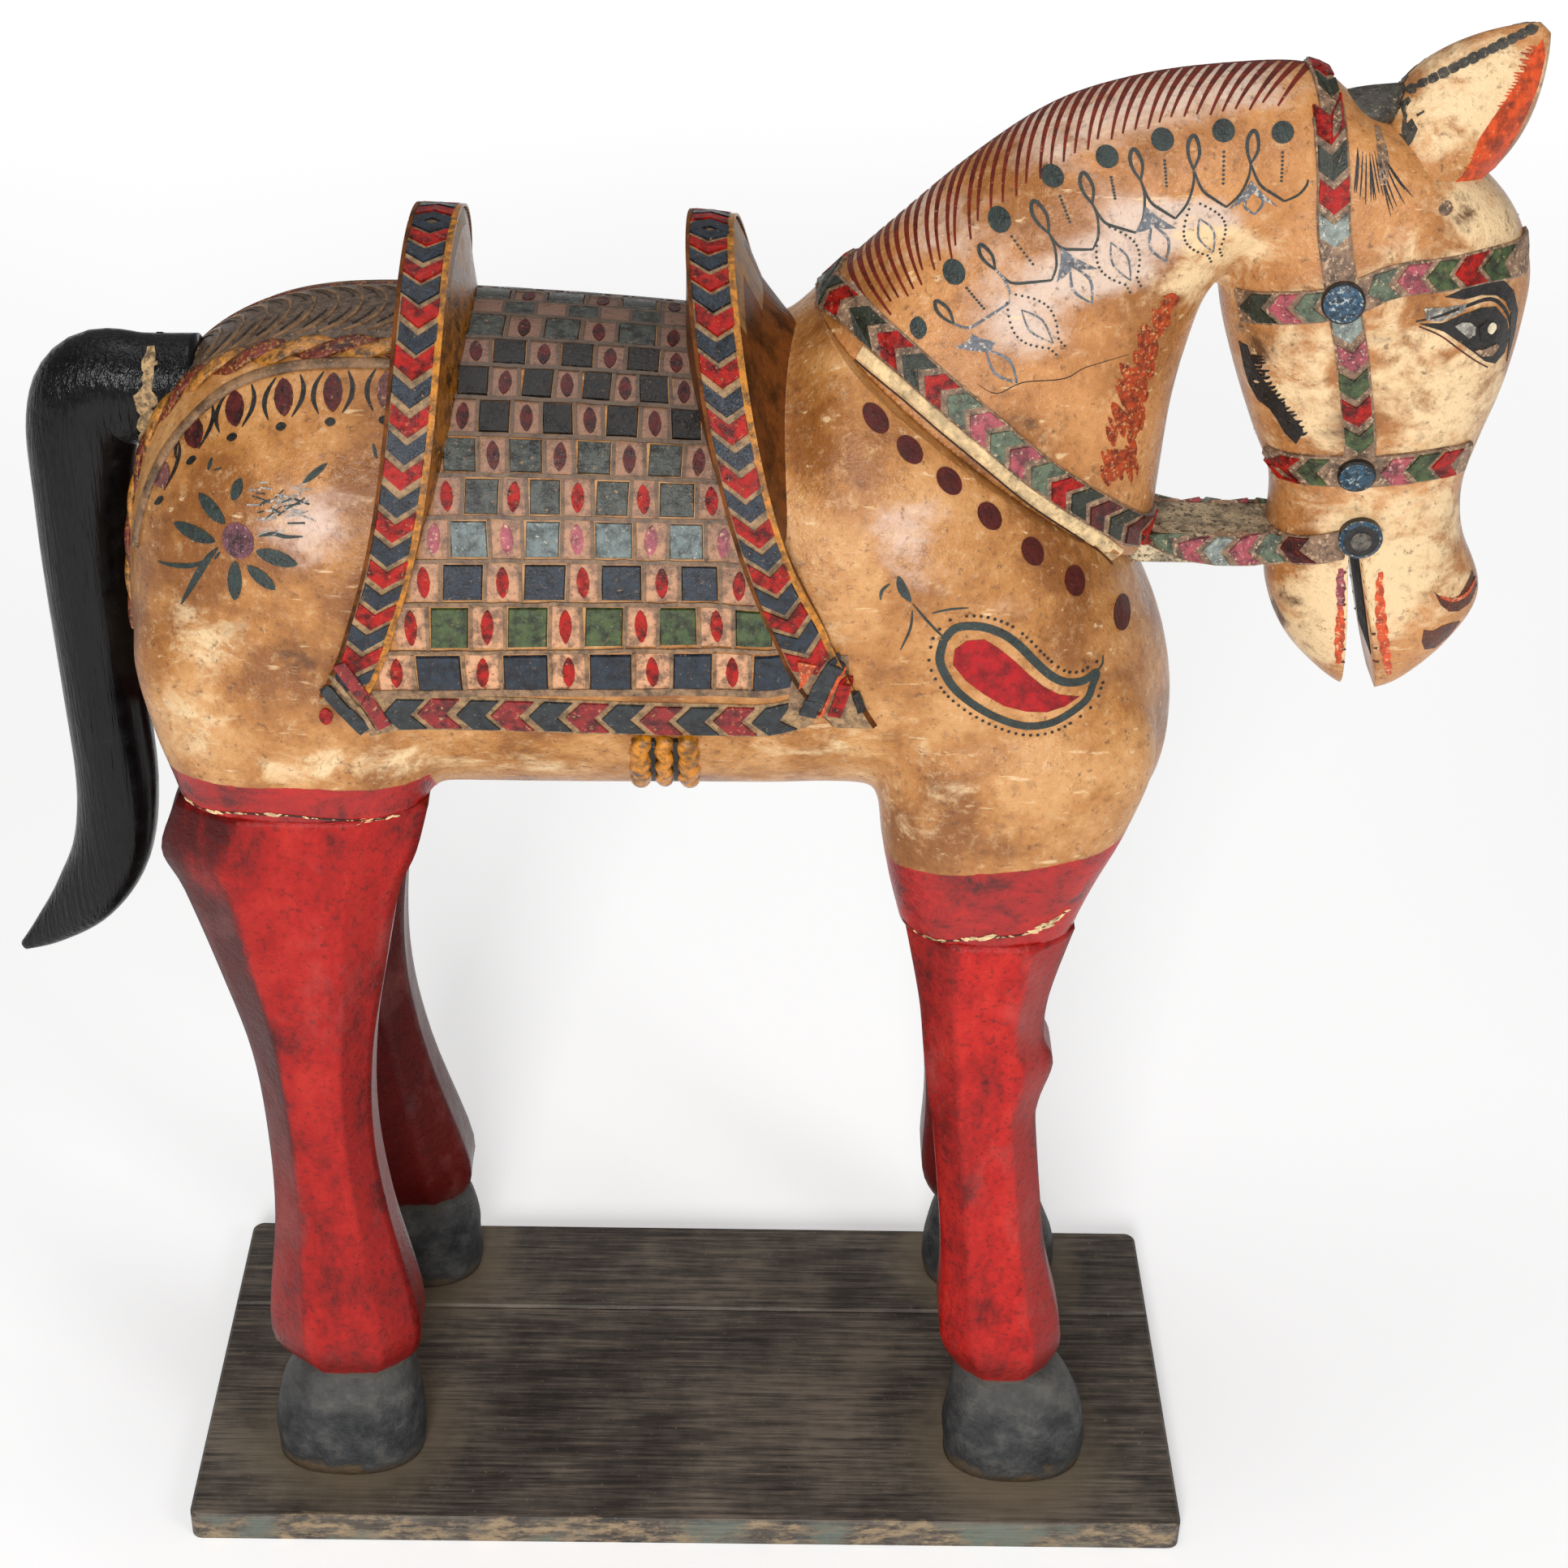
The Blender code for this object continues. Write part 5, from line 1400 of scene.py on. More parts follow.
face = bmesh.new()
for side in (-1, 1):
    on_face = side_place(horse_skin, side)
    on_ear = side_place(ear_skin, side)
    for high, step, slot, outline in FACE_SHAPES:
        lay(face, in_mm(*outline), on_face, high=high / 1000, step=step / 1000, slot=slot)
    for high, ends, middle, slot, line in FACE_LINES:
        brush(face, in_mm(*line), on_face, (ends / 1000, middle / 1000), slot, high=high / 1000)
    lay(face, almond(0.4035, 0.7845, 0.0034, 0.0026, 0.2, 10), on_face, high=0.001, slot=GLINT)
    lay(face, almond(0.3705, 0.848, 0.0036, 0.004), on_face, slot=TAN)
    for i in range(22):
        share = max(i + stray(0.4), 0) / 21
        x, z = 0.286 + 0.029 * share**1.1, 0.76 - 0.04 * share
        reach = chance.uniform(0.0005, 0.005)
        line = ((x - 0.002, z), (x + 0.0012, z + 0.001), (x + reach, z + 0.003))
        brush(face, line, on_face, (0.0004, 0.0018), BLACK, 2)
    upper_lip, lower_lip = [
        [(x + wide * (i / last) ** bend + 0.0005 * math.sin(i * waves), z - fall * i / last) for i in range(last + 1)]
        for x, wide, bend, waves, z, fall, last in (
            (0.3686, 0.017, 1.5, 2.1, 0.639, 0.07, 24),
            (0.3472, 0.0085, 1.0, 2.4, 0.64, 0.064, 20),
        )
    ]
    brush(face, upper_lip, on_face, (0.0026, 0.0058), LIP, 2)
    brush(face, lower_lip[:9], on_face, (0.0024, 0.0048), ROSE, 2)
    brush(face, lower_lip[7:], on_face, (0.0024, 0.0052), LIP, 2)
    for i in range(7):
        fall = 0.01 * i
        x, z = 0.3615 + fall * 0.27, 0.64 - fall
        brush(face, ((x - 0.0046, z), (x - 0.0004, z - 0.0006)), on_face, (0.0018, 0.0014), NOSTRIL, 2)
        x = 0.3505 + fall * 0.12
        brush(face, ((x - 0.0014, z - 0.002), (x + 0.0012, z - 0.0026)), on_face, (0.002, 0.0016), NOSTRIL, 2)
    lay(face, EAR_RED, on_ear, high=0.0004, step=0.006, slot=EAR)
    for i in range(44):
        share = i / 43
        x, z = 0.411 - 0.03 * share**1.2, 0.918 - 0.062 * share
        reach = chance.uniform(0.003, 0.0065)
        line = ((x + 0.004, z - 0.001), (x - reach, z + 0.0015 - 0.002 * share))
        brush(face, line, on_ear, (0.0004, 0.0017), EAR, 2)
    for i in range(13):
        share = i / 12
        x, z = 0.353 + 0.056 * share, 0.8965 + 0.03 * share**0.8
        spot = ((x - 0.0024, z - 0.0014), (x + 0.002, z + 0.0012))
        brush(face, spot, on_ear, (0.0036, 0.0052) if i % 3 else (0.0042, 0.0058), SMOKE, 3)
    # This broad grey smudge at the ear's root is painted shade between ear and forelock.
    brush(face, in_mm((340, 872), (344, 882), (352, 893)), on_ear, (0.003, 0.0085), SMOKE)
    brush(face, in_mm((335, 882), (336.5, 872), (337.5, 860)), on_face, (0.003, 0.006), TAN, 3)
    for i in range(18):
        share = i / 17
        x = 0.3235 + 0.015 * share + stray(0.001)
        z = 0.876 - 0.006 * share + stray(0.003)
        lean = -0.0005 + 0.014 * share**1.5
        fall = chance.uniform(0.014, 0.026)
        line = ((x, z), (x + lean * 0.5, z - fall * 0.55), (x + lean, z - fall))
        brush(face, line, on_face, (0.0002, 0.0008), BLACK, 2)
carried(new_object("painted_face", face, *FACE_PAINTS))


def on_palate(y, z):
    """The inner face of the upper jaw at Y and Z, as (point, outward direction)."""
    rise = 0.64 - z
    point, normal, _, _ = horse_skin.ray_cast(Vector((0.354 + 0.19 * rise, y, z)), Vector((1, 0, 0)))
    return horse_skin.find_nearest(Vector((0.362 + 0.27 * rise, y, z)))[:2] if point is None else (point, normal)


# The inner face of the upper jaw is laid in flat black without shine: the mouth's black paint together with a painted
# shadow inside the saw cut, so that the cut reads as a dark line beside the open gap.
bm = bmesh.new()
lay(bm, in_mm((-21, 648), (21, 648), (19, 578), (-19, 578)), on_palate, high=0.0004, step=0.004)
carried(new_object("mouth_paint_and_shadow", bm, dark_mouth_and_shadow))

# A small dark grey forelock fills the space between the cheek straps and the ears.
rings = []
for step in range(9):
    share = step / 8
    half = 0.017 * math.sin(math.pi * (0.12 + 0.8 * share)) ** 0.5
    centre = Vector((0.317 + 0.034 * share, 0, 0.88 + 0.006 * share))
    rings.append(circle(centre, Vector((0, 0, 0.0105)), Vector((0, half, 0)), 1.0, 20))
bm = bmesh.new()
loft(bm, rings)
forelock = new_object("forelock", bm, smoke)
forelock.data.shade_smooth()
carried(forelock)

# The mane is thin brushed oil paint: dull where it is maroon, and worn to a chalky blue-grey on the lower garland.
mane_maroon = coloured("mane_maroon_paint", "#74220F", "#B87860", chips=0.07, gloss=0.4, dim=0.7, shine=0.22)
ink = coloured("ink_green_paint", "#2E3430", "#8A7250", chips=0.07, dim=0.75)
faded_ink = coloured("faded_blue_ink", "#6A6E74", "#C8B8A8", chips=0.16, dim=0.75)
throat_orange = coloured("throat_orange_paint", "#AC4018", "#C8905A", chips=0.14, cloud=4, dim=0.6, shine=0.25)
MANE_PAINTS = (mane_maroon, leaf_green, ink, faded_ink, throat_orange, dark_seam_and_shadow)
STROKE, DOT, INK, FADED, THROAT, CRACK = range(6)
MANE_COUNT = 38
MANE_PART = 0.2
DOTS = in_mm((128.5, 810), (150, 836), (175, 858), (201, 869), (227.5, 878), (257, 883), (286, 883))
DOT_TAILS = in_mm((142, 797), (165, 820), (183, 841), (205, 853), (230, 860), (258, 862), (287, 863))
LOOPS = in_mm((119.5, 795.5), (140.5, 823.5), (165.5, 846), (189, 861), (213, 873), (242, 880.5), (271.5, 883.5))
CROSSINGS = in_mm(
    (129, 787), (148.5, 814), (174, 833), (194.5, 848), (217.5, 860), (243, 866), (271, 869), (300.5, 861),
)
SWAG_TIPS = in_mm((156, 799), (176.5, 811), (196, 826.5), (217, 835), (236, 842), (261, 847.5), (290, 850))
# Each leaf under the garland: its base, its tip and the ends of its two wings.
WINGED_LEAVES = (
    in_mm((138, 783), (162, 760), (130, 776), (150, 780)),
    in_mm((180, 827), (197.5, 799.5), (179, 810), (199, 817)),
    in_mm((220.5, 848), (233.5, 819.5), (216.5, 835), (237, 837)),
    in_mm((272, 861), (276, 843), (262, 846), (287, 847)),
)
DOTTED_LEAVES = (in_mm((157, 801), (183, 776)), in_mm((201, 836), (219, 806)), in_mm((245, 848), (260, 818)))
THROAT_LINE = in_mm((243, 799), (241, 789), (236, 781), (233, 767), (230, 753), (231, 739), (231, 716), (230, 701))
NECK_CRACK = in_mm((142, 759), (152, 754.5), (165, 760), (186, 761.2), (197, 766.5), (219, 771))


def axis(start, end):
    """From one drawn point to another: the direction, the direction across it and the distance."""
    way = (end - start).normalized()
    return way, Vector((way.y, -way.x)), (end - start).length


mane = bmesh.new()
for side in (-1, 1):
    on_neck = neck_place(horse_skin, side)
    on_side = side_place(horse_skin, side)
    for i in range(MANE_COUNT):
        top = 1.3 + 5.72 * i / (MANE_COUNT - 1)
        lean = -0.55 * min(max((top - 1.4) / 1.6, 0), 1)
        fall = 0.58 + 0.1 * min(top / 6, 1) + chance.uniform(-0.04, 0.05)
        crest = MANE_PART * side
        points = [(top + lean * (step / 6) ** 1.15, crest + (fall - crest) * step / 6) for step in range(7)]
        spots = [on_neck(*point) for point in resampled(points, 2)]
        widths = [0.0044 * (1 - 0.78 * k / (len(spots) - 1)) for k in range(len(spots))]
        ribbon(mane, spots, widths, slot=STROKE)
    lay(mane, almond(0.1115, 0.783, 0.0052, 0.0044), on_side, high=0.0004, slot=DOT)
    for (x, z), (end_x, end_z) in zip(DOTS, DOT_TAILS):
        tall = 0.0056 if x < 0.17 else 0.0048
        oval_dot = [(x + 0.0056 * math.sin(t / 2.55), z + tall * math.cos(t / 2.55)) for t in range(16)]
        lay(mane, oval_dot, on_side, high=0.0006, step=0.004, slot=DOT)
        reach = math.hypot(end_x - x, end_z - z)
        for k in range(8):
            share = (0.0088 + (reach * 1.12 - 0.0088) * k / 7) / reach
            dot = almond(x + (end_x - x) * share, z + (end_z - z) * share, 0.0007, 0.0009, 0, 6)
            lay(mane, dot, on_side, slot=INK)
    for index, (at, down) in enumerate(zip(LOOPS, CROSSINGS)):
        at, down, tip, after = Vector(at), Vector(down), Vector(SWAG_TIPS[index]), Vector(CROSSINGS[index + 1])
        way = down - at
        out = Vector((-way.y, way.x)) * 0.21
        bends = ((0.55, 1.0), (0.12, 0.7), (0.0, 0.0), (0.25, -0.8), (0.62, -0.7))
        loop = [down] + [at + way * along + out * across for along, across in bends] + [down]
        brush(mane, loop, on_side, (0.0012, 0.002), INK)
        for start, end, bends, ends, middle in (
            (down, tip, ((0.28, 0.0, -0.0045), (0.65, 0.0, -0.0025)), 0.0011, 0.0015),
            (tip, after, ((0.34, 0.0028, -0.0006), (0.72, 0.0024, 0.0)), 0.0009, 0.0013),
        ):
            line = [start * (1 - share) + end * share + Vector((x, z)) for share, x, z in bends]
            brush(mane, [start, *line, end], on_side, (ends, middle), FADED if index == 0 else INK)
    for base, tip, *wings in WINGED_LEAVES:
        base, tip = Vector(base), Vector(tip)
        way, across, reach = axis(base, tip)
        for wing in wings:
            wing = Vector(wing)
            inner = base + way * reach * 0.36
            bend = (base + wing) / 2 + (inner - wing) * 0.12
            outline = (base, bend, wing, (wing + inner) / 2 + way * 0.0006, inner)
            lay(mane, outline, on_side, high=0.0004, step=0.006, slot=FADED)
        for bow in (-1, 1):
            petal = (base + way * reach * 0.3, base + way * reach * 0.66 + across * bow * 0.0048, tip)
            brush(mane, petal, on_side, (0.0008, 0.0015), FADED)
    for top, low in DOTTED_LEAVES:
        top, low = Vector(top), Vector(low)
        way, across, reach = axis(top, low)
        for bow in (-1, 1):
            for k in range(15):
                share = k / 14
                out = 0.003 + 0.0075 * math.sin(math.pi * min(share * 1.15, 1))
                dot = top + way * reach * share + across * bow * out
                lay(mane, almond(dot.x, dot.y, 0.0007, 0.0008, 0, 6), on_side, slot=INK)
            bends = ((0.2, 0.0), (0.5, 0.004 * bow), (0.85, 0.0))
            petal = [top + way * reach * share + across * out for share, out in bends]
            brush(mane, petal, on_side, (0.0006, 0.0011), FADED)
    for i in range(90):
        share = chance.random() ** 0.75
        x, z = spline(THROAT_LINE, share * 7)
        x -= chance.uniform(0.0, 0.004 + 0.017 * share)
        reach = chance.uniform(0.003, 0.008)
        line = ((x - reach * 0.6, z + reach), (x, z), (x + reach * 0.25, z - reach))
        brush(mane, line, on_side, (0.0008, 0.003 + chance.uniform(0, 0.0034)), THROAT, 2)
    brush(mane, NECK_CRACK, on_side, (0.0003, 0.0006), CRACK, high=0.0001)
carried(new_object("painted_mane", mane, *MANE_PAINTS))


# ---------------------------------------------------------------- legs
# Each leg is a separate billet, cut with a drawknife so that soft flats remain, flared into a collar above the
# hoof, and lacquered red. The hoof is a dome in dull dark grey. The filler in the joints has cracked and shows pale.
NEAR_HOOF_Y = -0.081
FAR_HOOF_Y = 0.089
FAR_HIND_STEP = 0.022
FAR_FORE_STEP = -0.004
FAR_DROP = 0.013
BOARD_THICK = 0.02
FORE_LEG = in_mm(
    (1000 * FORE_JOINT_Z, 119.5, 215, 36.5), (390, 129, 204, 33), (360, 133, 203.5, 31),
    (341, 135, 210, 30.5), (312, 139, 203.5, 28.5), (288, 143, 204, 27),
    (192, 153, 216.5, 27), (131, 155, 230, 33), (100, 169, 222, 25),
    (89, 174, 220, 23), (81, 174, 220, 22.5),
)
HIND_LEG = in_mm(
    (1000 * HIND_JOINT_Z, -280, -144, 37.5), (484, -291, -152, 37), (456, -281, -163, 36),
    (400, -266, -174, 33), (342, -253, -184, 30), (281, -248.5, -187, 27),
    (218, -249, -181, 27), (130, -257, -166, 33), (99, -240, -177, 25),
    (89, -237, -180, 23), (81, -237, -180, 22.5),
)
FORE_HOOF = (0.162, 0.253)
HIND_HOOF = (-0.263, -0.168)
HOOF_HALF_DEPTH = 0.033
HOOF_OVERLAP = 0.019
LEG_FLATS = 8

# Red lacquer in thin brushed coats over shaved wood. To the eye: bright where it is thick, soiled with small dark
# flecks, dulled by a rosy haze that is partly a painted sheen on the tops of the legs, and rubbed to grey just above
# the hoof. Painted shade makes the flats that face back nearly black and darkens the flats that face forward and the
# far legs. The red also turns darker towards the hind legs and low on the leg.
red_skin, tree, shader, spot = new_material("red_lacquer")
drawn = add_node(tree, "Mapping", {"Vector": spot, "Scale": (1.0, 1.0, 0.55)})
cloud, fleck, worn, rosy_dulling_and_sheen = [
    add_node(tree, "TexNoise", {"Vector": at, "Scale": 1000 / size, "Detail": fine, "Roughness": harsh})
    for at, size, fine, harsh in (
        (drawn, 29.4, 8.0, 0.72), (spot, 3.85, 4.0, 0.7), (drawn, 11.1, 6.0, 0.75), (drawn, 55.5, 6.0, 0.65),
    )
]
tones = ((0.34, "#4E0C0A"), (0.43, "#8E1410"), (0.52, "#B01813"), (0.66, "#C42A20"))
facing = add_node(tree, "SeparateXYZ", {0: add_node(tree, "NewGeometry").outputs["Normal"]})
swing = add_node(tree, "Math", {0: cloud, 1: 0.9, 2: facing}, operation="MULTIPLY_ADD")
place = add_node(tree, "SeparateXYZ", {0: spot}).outputs
# Painted shade: the flats that face back go nearly black, most on the hind legs and higher up.
back = add_node(tree, "MapRange", {0: swing, 1: -0.08, 2: 0.22, 3: 0.95, 4: 0.0})
for source, start, end, least, most in ((place["X"], 0.1, -0.1, 0.35, 1.0), (place["Z"], 0.16, 0.32, 0.35, 1.0)):
    share = add_node(tree, "MapRange", {0: source, 1: start, 2: end, 3: least, 4: most})
    back = add_node(tree, "Math", {0: back, 1: share}, operation="MULTIPLY")
foot = add_node(tree, "Math", {0: place["Y"], 1: 0.078, 2: place["Z"]}, operation="MULTIPLY_ADD")
foot = add_node(tree, "Math", {0: cloud, 1: 0.02, 2: foot}, operation="MULTIPLY_ADD")
# The layers below: painted shade on the back flats, on the forward flats and on the far legs; dark flecks, worn spots,
# darker red towards the hind legs and low on the leg, a rosy haze that is partly painted sheen, and the grey crown
# above the hoof.
tone = layered(
    tree,
    add_node(tree, "ValToRGB", {0: cloud}, stops=tones),
    (
        (back, 0.0, 1.0, 1.0, "#240606"),
        (swing, 0.9, 1.2, 0.55, "#4A0C0A"),
        (fleck, 0.53, 0.68, 0.62, "#3A1210"),
        (worn, 0.7, 0.73, 0.6, "#A87868"),
        (place["X"], -0.1, -0.25, 0.3, "#6A0E0A"),
        (place["Y"], 0.0, 0.05, 0.8, "#3E100E"),
        (place["Z"], 0.134, 0.114, 0.55, "#540C0A"),
        (rosy_dulling_and_sheen, 0.54, 0.72, 0.3, "#A86A64"),
        (foot, 0.107, 0.105, 1.0, "#56534D"),
    ),
)
rough = add_node(tree, "MapRange", {0: cloud, 1: 0.3, 2: 0.7, 3: 0.22, 4: 0.44})
height = add_node(tree, "Math", {0: cloud, 1: fleck}, operation="ADD")
bump = add_node(tree, "Bump", {"Height": height, "Strength": 0.55, "Distance": 0.0014})
wire(shader, {"Base Color": tone, "Roughness": rough, "Normal": bump, "Specular IOR Level": 0.22})

# Dull lampblack paint on a carved dome. To the eye: cloudy dark grey, dustier at the crown, with tan dirt along the
# ground and small chips down to the wood.
hoof_skin, tree, shader, spot = new_material("grey_hoof_paint")
cloud, chip = [
    add_node(tree, "TexNoise", {"Vector": spot, "Scale": 1000 / size, "Detail": fine, "Roughness": harsh})
    for size, fine, harsh in ((18.2, 7.0, 0.7), (8.33, 5.0, 0.8))
]
tones = ((0.34, "#232426"), (0.52, "#3C3D3E"), (0.7, "#5C5B57"))
high = add_node(tree, "SeparateXYZ", {0: spot}).outputs["Z"]
dust = add_node(tree, "Math", {0: cloud, 1: 0.05, 2: high}, operation="MULTIPLY_ADD")
tone = layered(
    tree,
    add_node(tree, "ValToRGB", {0: cloud}, stops=tones),
    (
        (dust, 0.092, 0.132, 0.62, "#605C56"), (dust, 0.055, 0.047, 0.6, "#7A6448"),
        (chip, 0.68, 0.71, 0.8, "#8A6A48"),
    ),
)
bump = add_node(tree, "Bump", {"Height": cloud, "Strength": 0.9, "Distance": 0.004})
wire(shader, {"Base Color": tone, "Roughness": 0.55, "Normal": bump, "Specular IOR Level": 0.35})


def drawknife_ring(z, back, front, half_depth, centre_y, softness, count=48):
    """A level ring with soft flats round it."""
    ring = []
    for step in range(count):
        angle = 2 * math.pi * step / count
        turn = (angle + math.pi / LEG_FLATS) % (2 * math.pi / LEG_FLATS) - math.pi / LEG_FLATS
        flat = 1 / math.cos(turn)
        reach = 1 + (flat - 1) * (1 - softness)
        across, along = oval(angle, 2.25)
        x = (back + front) / 2 + along * reach * (front - back) / 2
        ring.append((x, centre_y + across * reach * half_depth, z))
    return ring


def carve_leg(name, stations, hoof, centre_y, step_forward, drop, softness):
    """One leg with its hoof; drop lowers the foot of a leg that stands further off."""
    top_z = stations[0][0] - GAP
    low_z = stations[-1][0]
    side = math.copysign(STUMP_Y, centre_y)
    rings = []
    for z, back, front, depth in resampled(stations, 5):
        share = max(top_z - z, 0.0) / (top_z - low_z)
        y = side + (centre_y - side) * share
        shift = step_forward * share**3
        level = min(z, top_z) - drop * share**2
        rings.append(drawknife_ring(level, back + shift, front + shift, depth, y, softness))
    bm = bmesh.new()
    loft(bm, rings)
    leg = new_object(name, bm, red_skin)
    leg.data.shade_smooth()
    carried(leg, name)
    rings = []
    neck_back, neck_front, neck_depth = stations[-2][1] + step_forward, stations[-2][2] + step_forward, 0.0225
    back, front = hoof[0] + step_forward, hoof[1] + step_forward
    crown = low_z - drop + HOOF_OVERLAP
    for step in range(17):
        share = step / 16
        swell = math.sin(math.pi / 2 * min(share * 1.08, 1.0)) ** 0.85
        z = crown + (BOARD_THICK + GAP - crown) * (1 - math.cos(math.pi / 2 * share)) ** 0.85
        tuck = 0.0015 * max(share - 0.85, 0) / 0.15
        ring_back = neck_back + (back - neck_back) * swell + tuck
        ring_front = neck_front + (front - neck_front) * swell - tuck
        depth = neck_depth + (HOOF_HALF_DEPTH - neck_depth) * swell - tuck
        rings.append(ring_between((ring_front, z), (ring_back, z), depth, 2.3, 40, centre_y))
    bm = bmesh.new()
    loft(bm, rings)
    foot = new_object(name + "_hoof", bm, hoof_skin)
    for vert in foot.data.vertices:
        if vert.co.z > BOARD_THICK + 0.004:
            vert.co += vert.normal * 0.0014 * noise.noise(vert.co * 55)
    foot.data.shade_smooth()
    carried(foot)
    return leg


FORE_SOFTNESS = 0.17
HIND_SOFTNESS = 0.05
near_fore = carve_leg("leg_fore_right", FORE_LEG, FORE_HOOF, NEAR_HOOF_Y, 0.0, 0.0, FORE_SOFTNESS)
carve_leg("leg_fore_left", FORE_LEG, FORE_HOOF, FAR_HOOF_Y, FAR_FORE_STEP, FAR_DROP, FORE_SOFTNESS)
near_hind = carve_leg("leg_hind_right", HIND_LEG, HIND_HOOF, NEAR_HOOF_Y, 0.0, 0.0, HIND_SOFTNESS)
carve_leg("leg_hind_left", HIND_LEG, HIND_HOOF, FAR_HOOF_Y, FAR_HIND_STEP, FAR_DROP, HIND_SOFTNESS)

FORE_CRACK = in_mm((118, 440.5), (134, 438.5), (148, 442), (160, 445), (175, 446), (188, 448), (199, 453), (208, 459))
HIND_CRACK = in_mm((-274, 518), (-260, 517), (-245, 519.5), (-221, 520.5), (-197, 518), (-175, 515), (-160, 513))
FILLER_BEADS = 40
BIG_BEADS = (7, 18, 31, 35)
FILLER, CRACK = range(2)
cracks = bmesh.new()
for leg, line, breadth in ((near_fore, FORE_CRACK, 0.85), (near_hind, HIND_CRACK, 0.5)):
    joint_skin = skin_tree(leg, torso)
    for side in (-1, 1):
        on_joint = side_place(joint_skin, side)
        brush(cracks, line, on_joint, (0.0006, 0.0012), slot=CRACK, steps=6)
        for i in range(FILLER_BEADS):
            share = (i + stray(0.5)) / (FILLER_BEADS - 1)
            x, z = spline(line, min(max(share, 0), 1) * (len(line) - 1))
            size = breadth * (0.0008 + 0.0024 * chance.random() ** 2 + (0.0016 if i in BIG_BEADS else 0))
            if chance.random() < 0.75:
                bead = almond(x, z, size * 0.55, size * 1.9, stray(0.5), 7)
                lay(cracks, bead, on_joint, high=0.0004, slot=FILLER)
carried(new_object("cracked_filler", cracks, bare_wood, dark_seam_and_shadow))


# ---------------------------------------------------------------- tail
# The tail is a thick billet bent by carving, with fine grooves for hair, lacquered black. Its root is let into the
# rump, and the lacquer has cracked away to pale wood round the root.
TAIL = in_mm(
    (-262, 720, 27.5, 23), (-292, 717.5, 29.5, 24), (-316.5, 716, 32, 24), (-328, 696, 30, 24),
    (-332.5, 655, 26.5, 25), (-334.5, 608, 24.5, 25), (-334.5, 536, 23, 24), (-334, 470, 23.2, 22),
    (-342, 423, 22.5, 19), (-361, 388, 19, 14), (-384, 364, 11, 8), (-402.2, 350, 3, 3),
)
# Black lacquer over combed grooves. To the eye: wet-looking and almost without colour, with fine lines down its
# length that catch the light on the side near the rump.
black_skin, tree, shader, spot = new_material("black_lacquer")
combed = add_node(tree, "Mapping", {"Vector": spot, "Scale": (1.0, 1.0, 0.05)})
hair = add_node(tree, "TexNoise", {"Vector": combed, "Scale": 1000 / 2.38, "Detail": 3.0, "Roughness": 0.6})
cloud = add_node(tree, "TexNoise", {"Vector": spot, "Scale": 1000 / 16.7, "Detail": 6.0, "Roughness": 0.7})
tone = add_node(tree, "ValToRGB", {0: cloud}, stops=((0.42, "#070707"), (0.62, "#0E0E0F"), (0.8, "#2A2826")))
rough = add_node(tree, "MapRange", {0: cloud, 1: 0.35, 2: 0.7, 3: 0.14, 4: 0.34})
facing = add_node(tree, "SeparateXYZ", {0: add_node(tree, "NewGeometry").outputs["Normal"]})
grooved = add_node(tree, "MapRange", {0: facing, 1: -0.1, 2: 0.45, 3: 1.0, 4: 0.12})
bump = add_node(tree, "Bump", {"Height": hair, "Strength": grooved, "Distance": 0.0016})
wire(shader, {"Base Color": tone, "Roughness": rough, "Normal": bump, "Specular IOR Level": 0.24})

path = resampled(TAIL, 6)
rings = []
TAIL_COUNT = 96
for index, (x, z, half, depth) in enumerate(path):
    before = path[max(index - 1, 0)]
    after = path[min(index + 1, len(path) - 1)]
    way = Vector((after[0] - before[0], 0, after[1] - before[1])).normalized()
    first, last = (x + way.z * half, z - way.x * half), (x - way.z * half, z + way.x * half)
    rings.append(ring_between(first, last, depth, 2.2, TAIL_COUNT))
bm = bmesh.new()
loft(bm, rings)
tail = new_object("tail", bm, black_skin)
tail.data.shade_smooth()
carried(tail, "tail")

CRACK_TOP = 0.748
tail_skin = skin_tree(tail)
wound = bmesh.new()
for side in (-1, 1):
    on_tail = side_place(tail_skin, side)
    spots, widths = [], []
    for i in range(22):
        z = CRACK_TOP - 0.0026 * i
        x = -0.284 + 0.0045 * noise.noise(Vector((z * 190, side, 1))) - 0.15 * (CRACK_TOP - z)
        spots.append(on_tail(x, z))
        width = 0.0042 + 0.0062 * max(noise.noise(Vector((i * 0.45, side, 7))) + 0.45, 0.0)
        widths.append(width * (1.4 if 8 <= i <= 13 else 0.8))
    ribbon(wound, spots, widths, high=0.0005)
# Raw split wood: pale and matt, with brown dirt in it.
split_wood = coloured("split_wood", "#BC9A6C", "#5A4630", chips=0.16, gloss=0.6, cloud=4, dim=0.55)
carried(new_object("tail_crack", wound, split_wood))


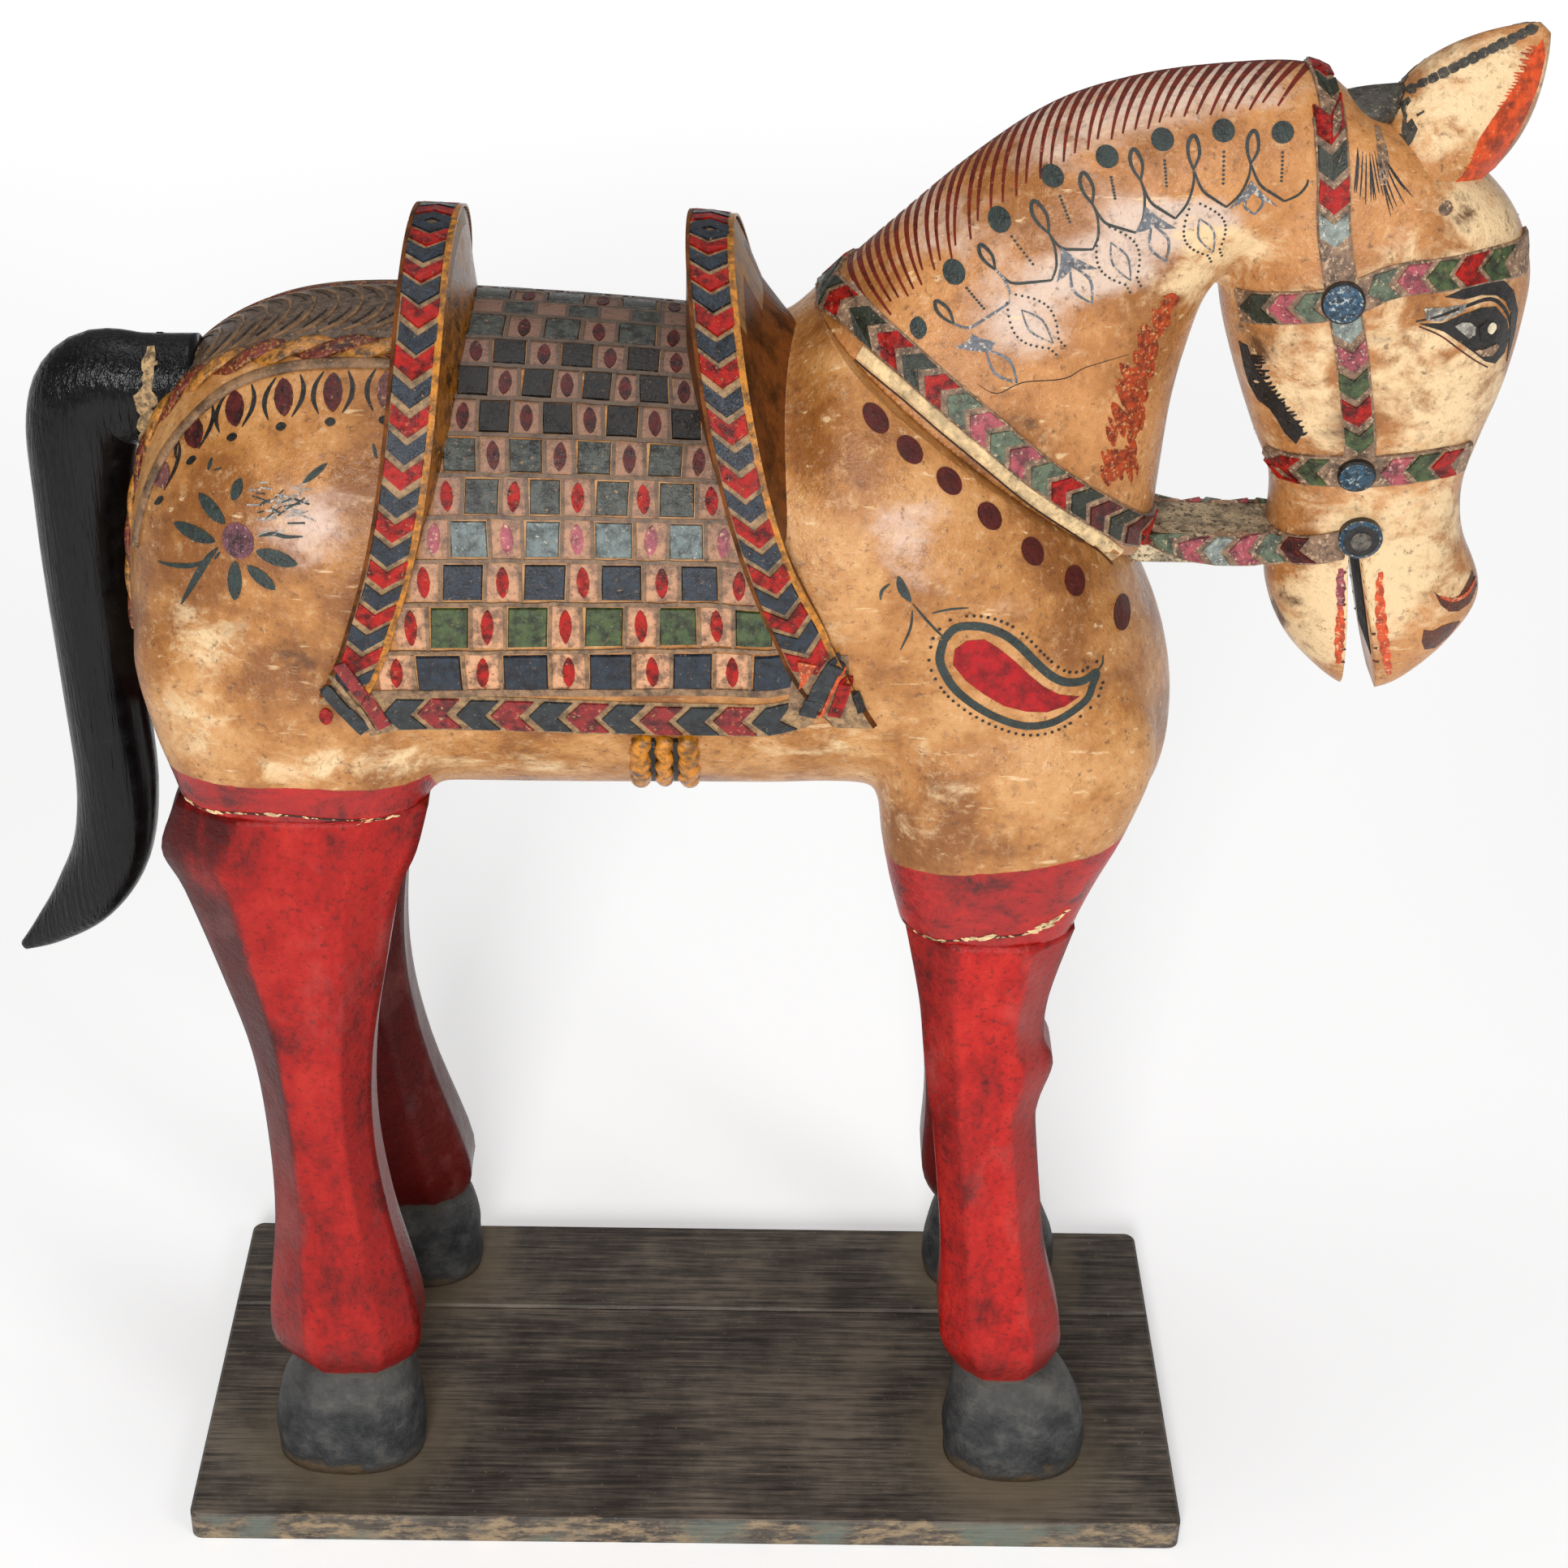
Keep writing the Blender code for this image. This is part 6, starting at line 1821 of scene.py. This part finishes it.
# ---------------------------------------------------------------- stand
# The stand is two planks of dark hardwood side by side, worn and dusty, with rounded outer corners. The grain runs
# lengthwise, dust has settled round the hoofs, and the long edges are chipped to pale wood.
# Oiled hardwood, sawn and left to weather. To the eye: dark grey-brown streaks along the grain, pale specks of grit,
# a ring of dust round each hoof, splintered pale edges and a dull green stain on the front.
HOOF_RINGS = ((0.207, -0.081), (0.203, 0.089), (-0.215, -0.081), (-0.193, 0.089))
weathered, tree, shader, spot = new_material("weathered_planks")
drawn = add_node(tree, "Mapping", {"Vector": spot, "Scale": (0.045, 1.0, 1.0)})
split = add_node(tree, "Mapping", {"Vector": spot, "Scale": (0.35, 1.0, 1.0)})
grain, cloud, fleck, splinter = [
    add_node(tree, "TexNoise", {"Vector": at, "Scale": 1000 / size, "Detail": fine, "Roughness": harsh})
    for at, size, fine, harsh in (
        (drawn, 2.38, 5.0, 0.65), (spot, 71.4, 6.0, 0.65), (spot, 3.33, 3.0, 0.7), (split, 7.7, 6.0, 0.75),
    )
]
mixed = add_node(tree, "Math", {0: cloud, 1: 0.9, 2: grain}, operation="MULTIPLY_ADD")
mixed = add_node(tree, "Math", {0: mixed, 1: 0.495}, operation="MULTIPLY")
tones = ((0.38, "#2C2621"), (0.47, "#4E463E"), (0.58, "#786C5E"))
level = add_node(tree, "VectorMath", {0: spot, 1: (1.0, 1.0, 0.0)}, operation="MULTIPLY")
halo = 0.0
for x, y in HOOF_RINGS:
    away = add_node(tree, "VectorMath", {0: level, 1: (x, y, 0.0)}, operation="DISTANCE")
    ragged = add_node(tree, "Math", {0: cloud, 1: -0.05, 2: away}, operation="MULTIPLY_ADD")
    near = add_node(tree, "MapRange", {0: ragged, 1: 0.018, 2: 0.05, 3: 0.75, 4: 0.0})
    halo = add_node(tree, "Math", {0: halo, 1: near}, operation="MAXIMUM")
depth = add_node(tree, "SeparateXYZ", {0: spot}).outputs["Y"]
nick = add_node(tree, "Math", {0: cloud, 1: 0.03, 2: depth}, operation="MULTIPLY_ADD")
masks = []
for (source, none, full, most), (where, start, end) in (
    ((cloud, 0.5, 0.6, 0.55), (depth, -0.146, -0.147)),
    ((splinter, 0.46, 0.6, 0.75), (nick, -0.13, -0.133)),
):
    share = add_node(tree, "MapRange", {0: source, 1: none, 2: full, 4: most})
    edge = add_node(tree, "MapRange", {0: where, 1: start, 2: end})
    masks.append(add_node(tree, "Math", {0: share, 1: edge}, operation="MULTIPLY"))
tone = layered(
    tree,
    add_node(tree, "ValToRGB", {0: mixed}, stops=tones),
    (
        (fleck, 0.63, 0.71, 0.6, "#8A7C68"),
        (halo, 0.0, 1.0, 1.0, "#766854"),
        (masks[0], 0.0, 1.0, 1.0, "#62746A"),
        (masks[1], 0.0, 1.0, 1.0, "#A8906E"),
    ),
)
bump = add_node(tree, "Bump", {"Height": grain, "Strength": 0.3, "Distance": 0.0012})
wire(shader, {"Base Color": tone, "Normal": bump, "Roughness": 0.62})
for name in ("base_board_front", "base_board_back"):
    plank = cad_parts[name]
    plank.data.materials.clear()
    plank.data.materials.append(weathered)
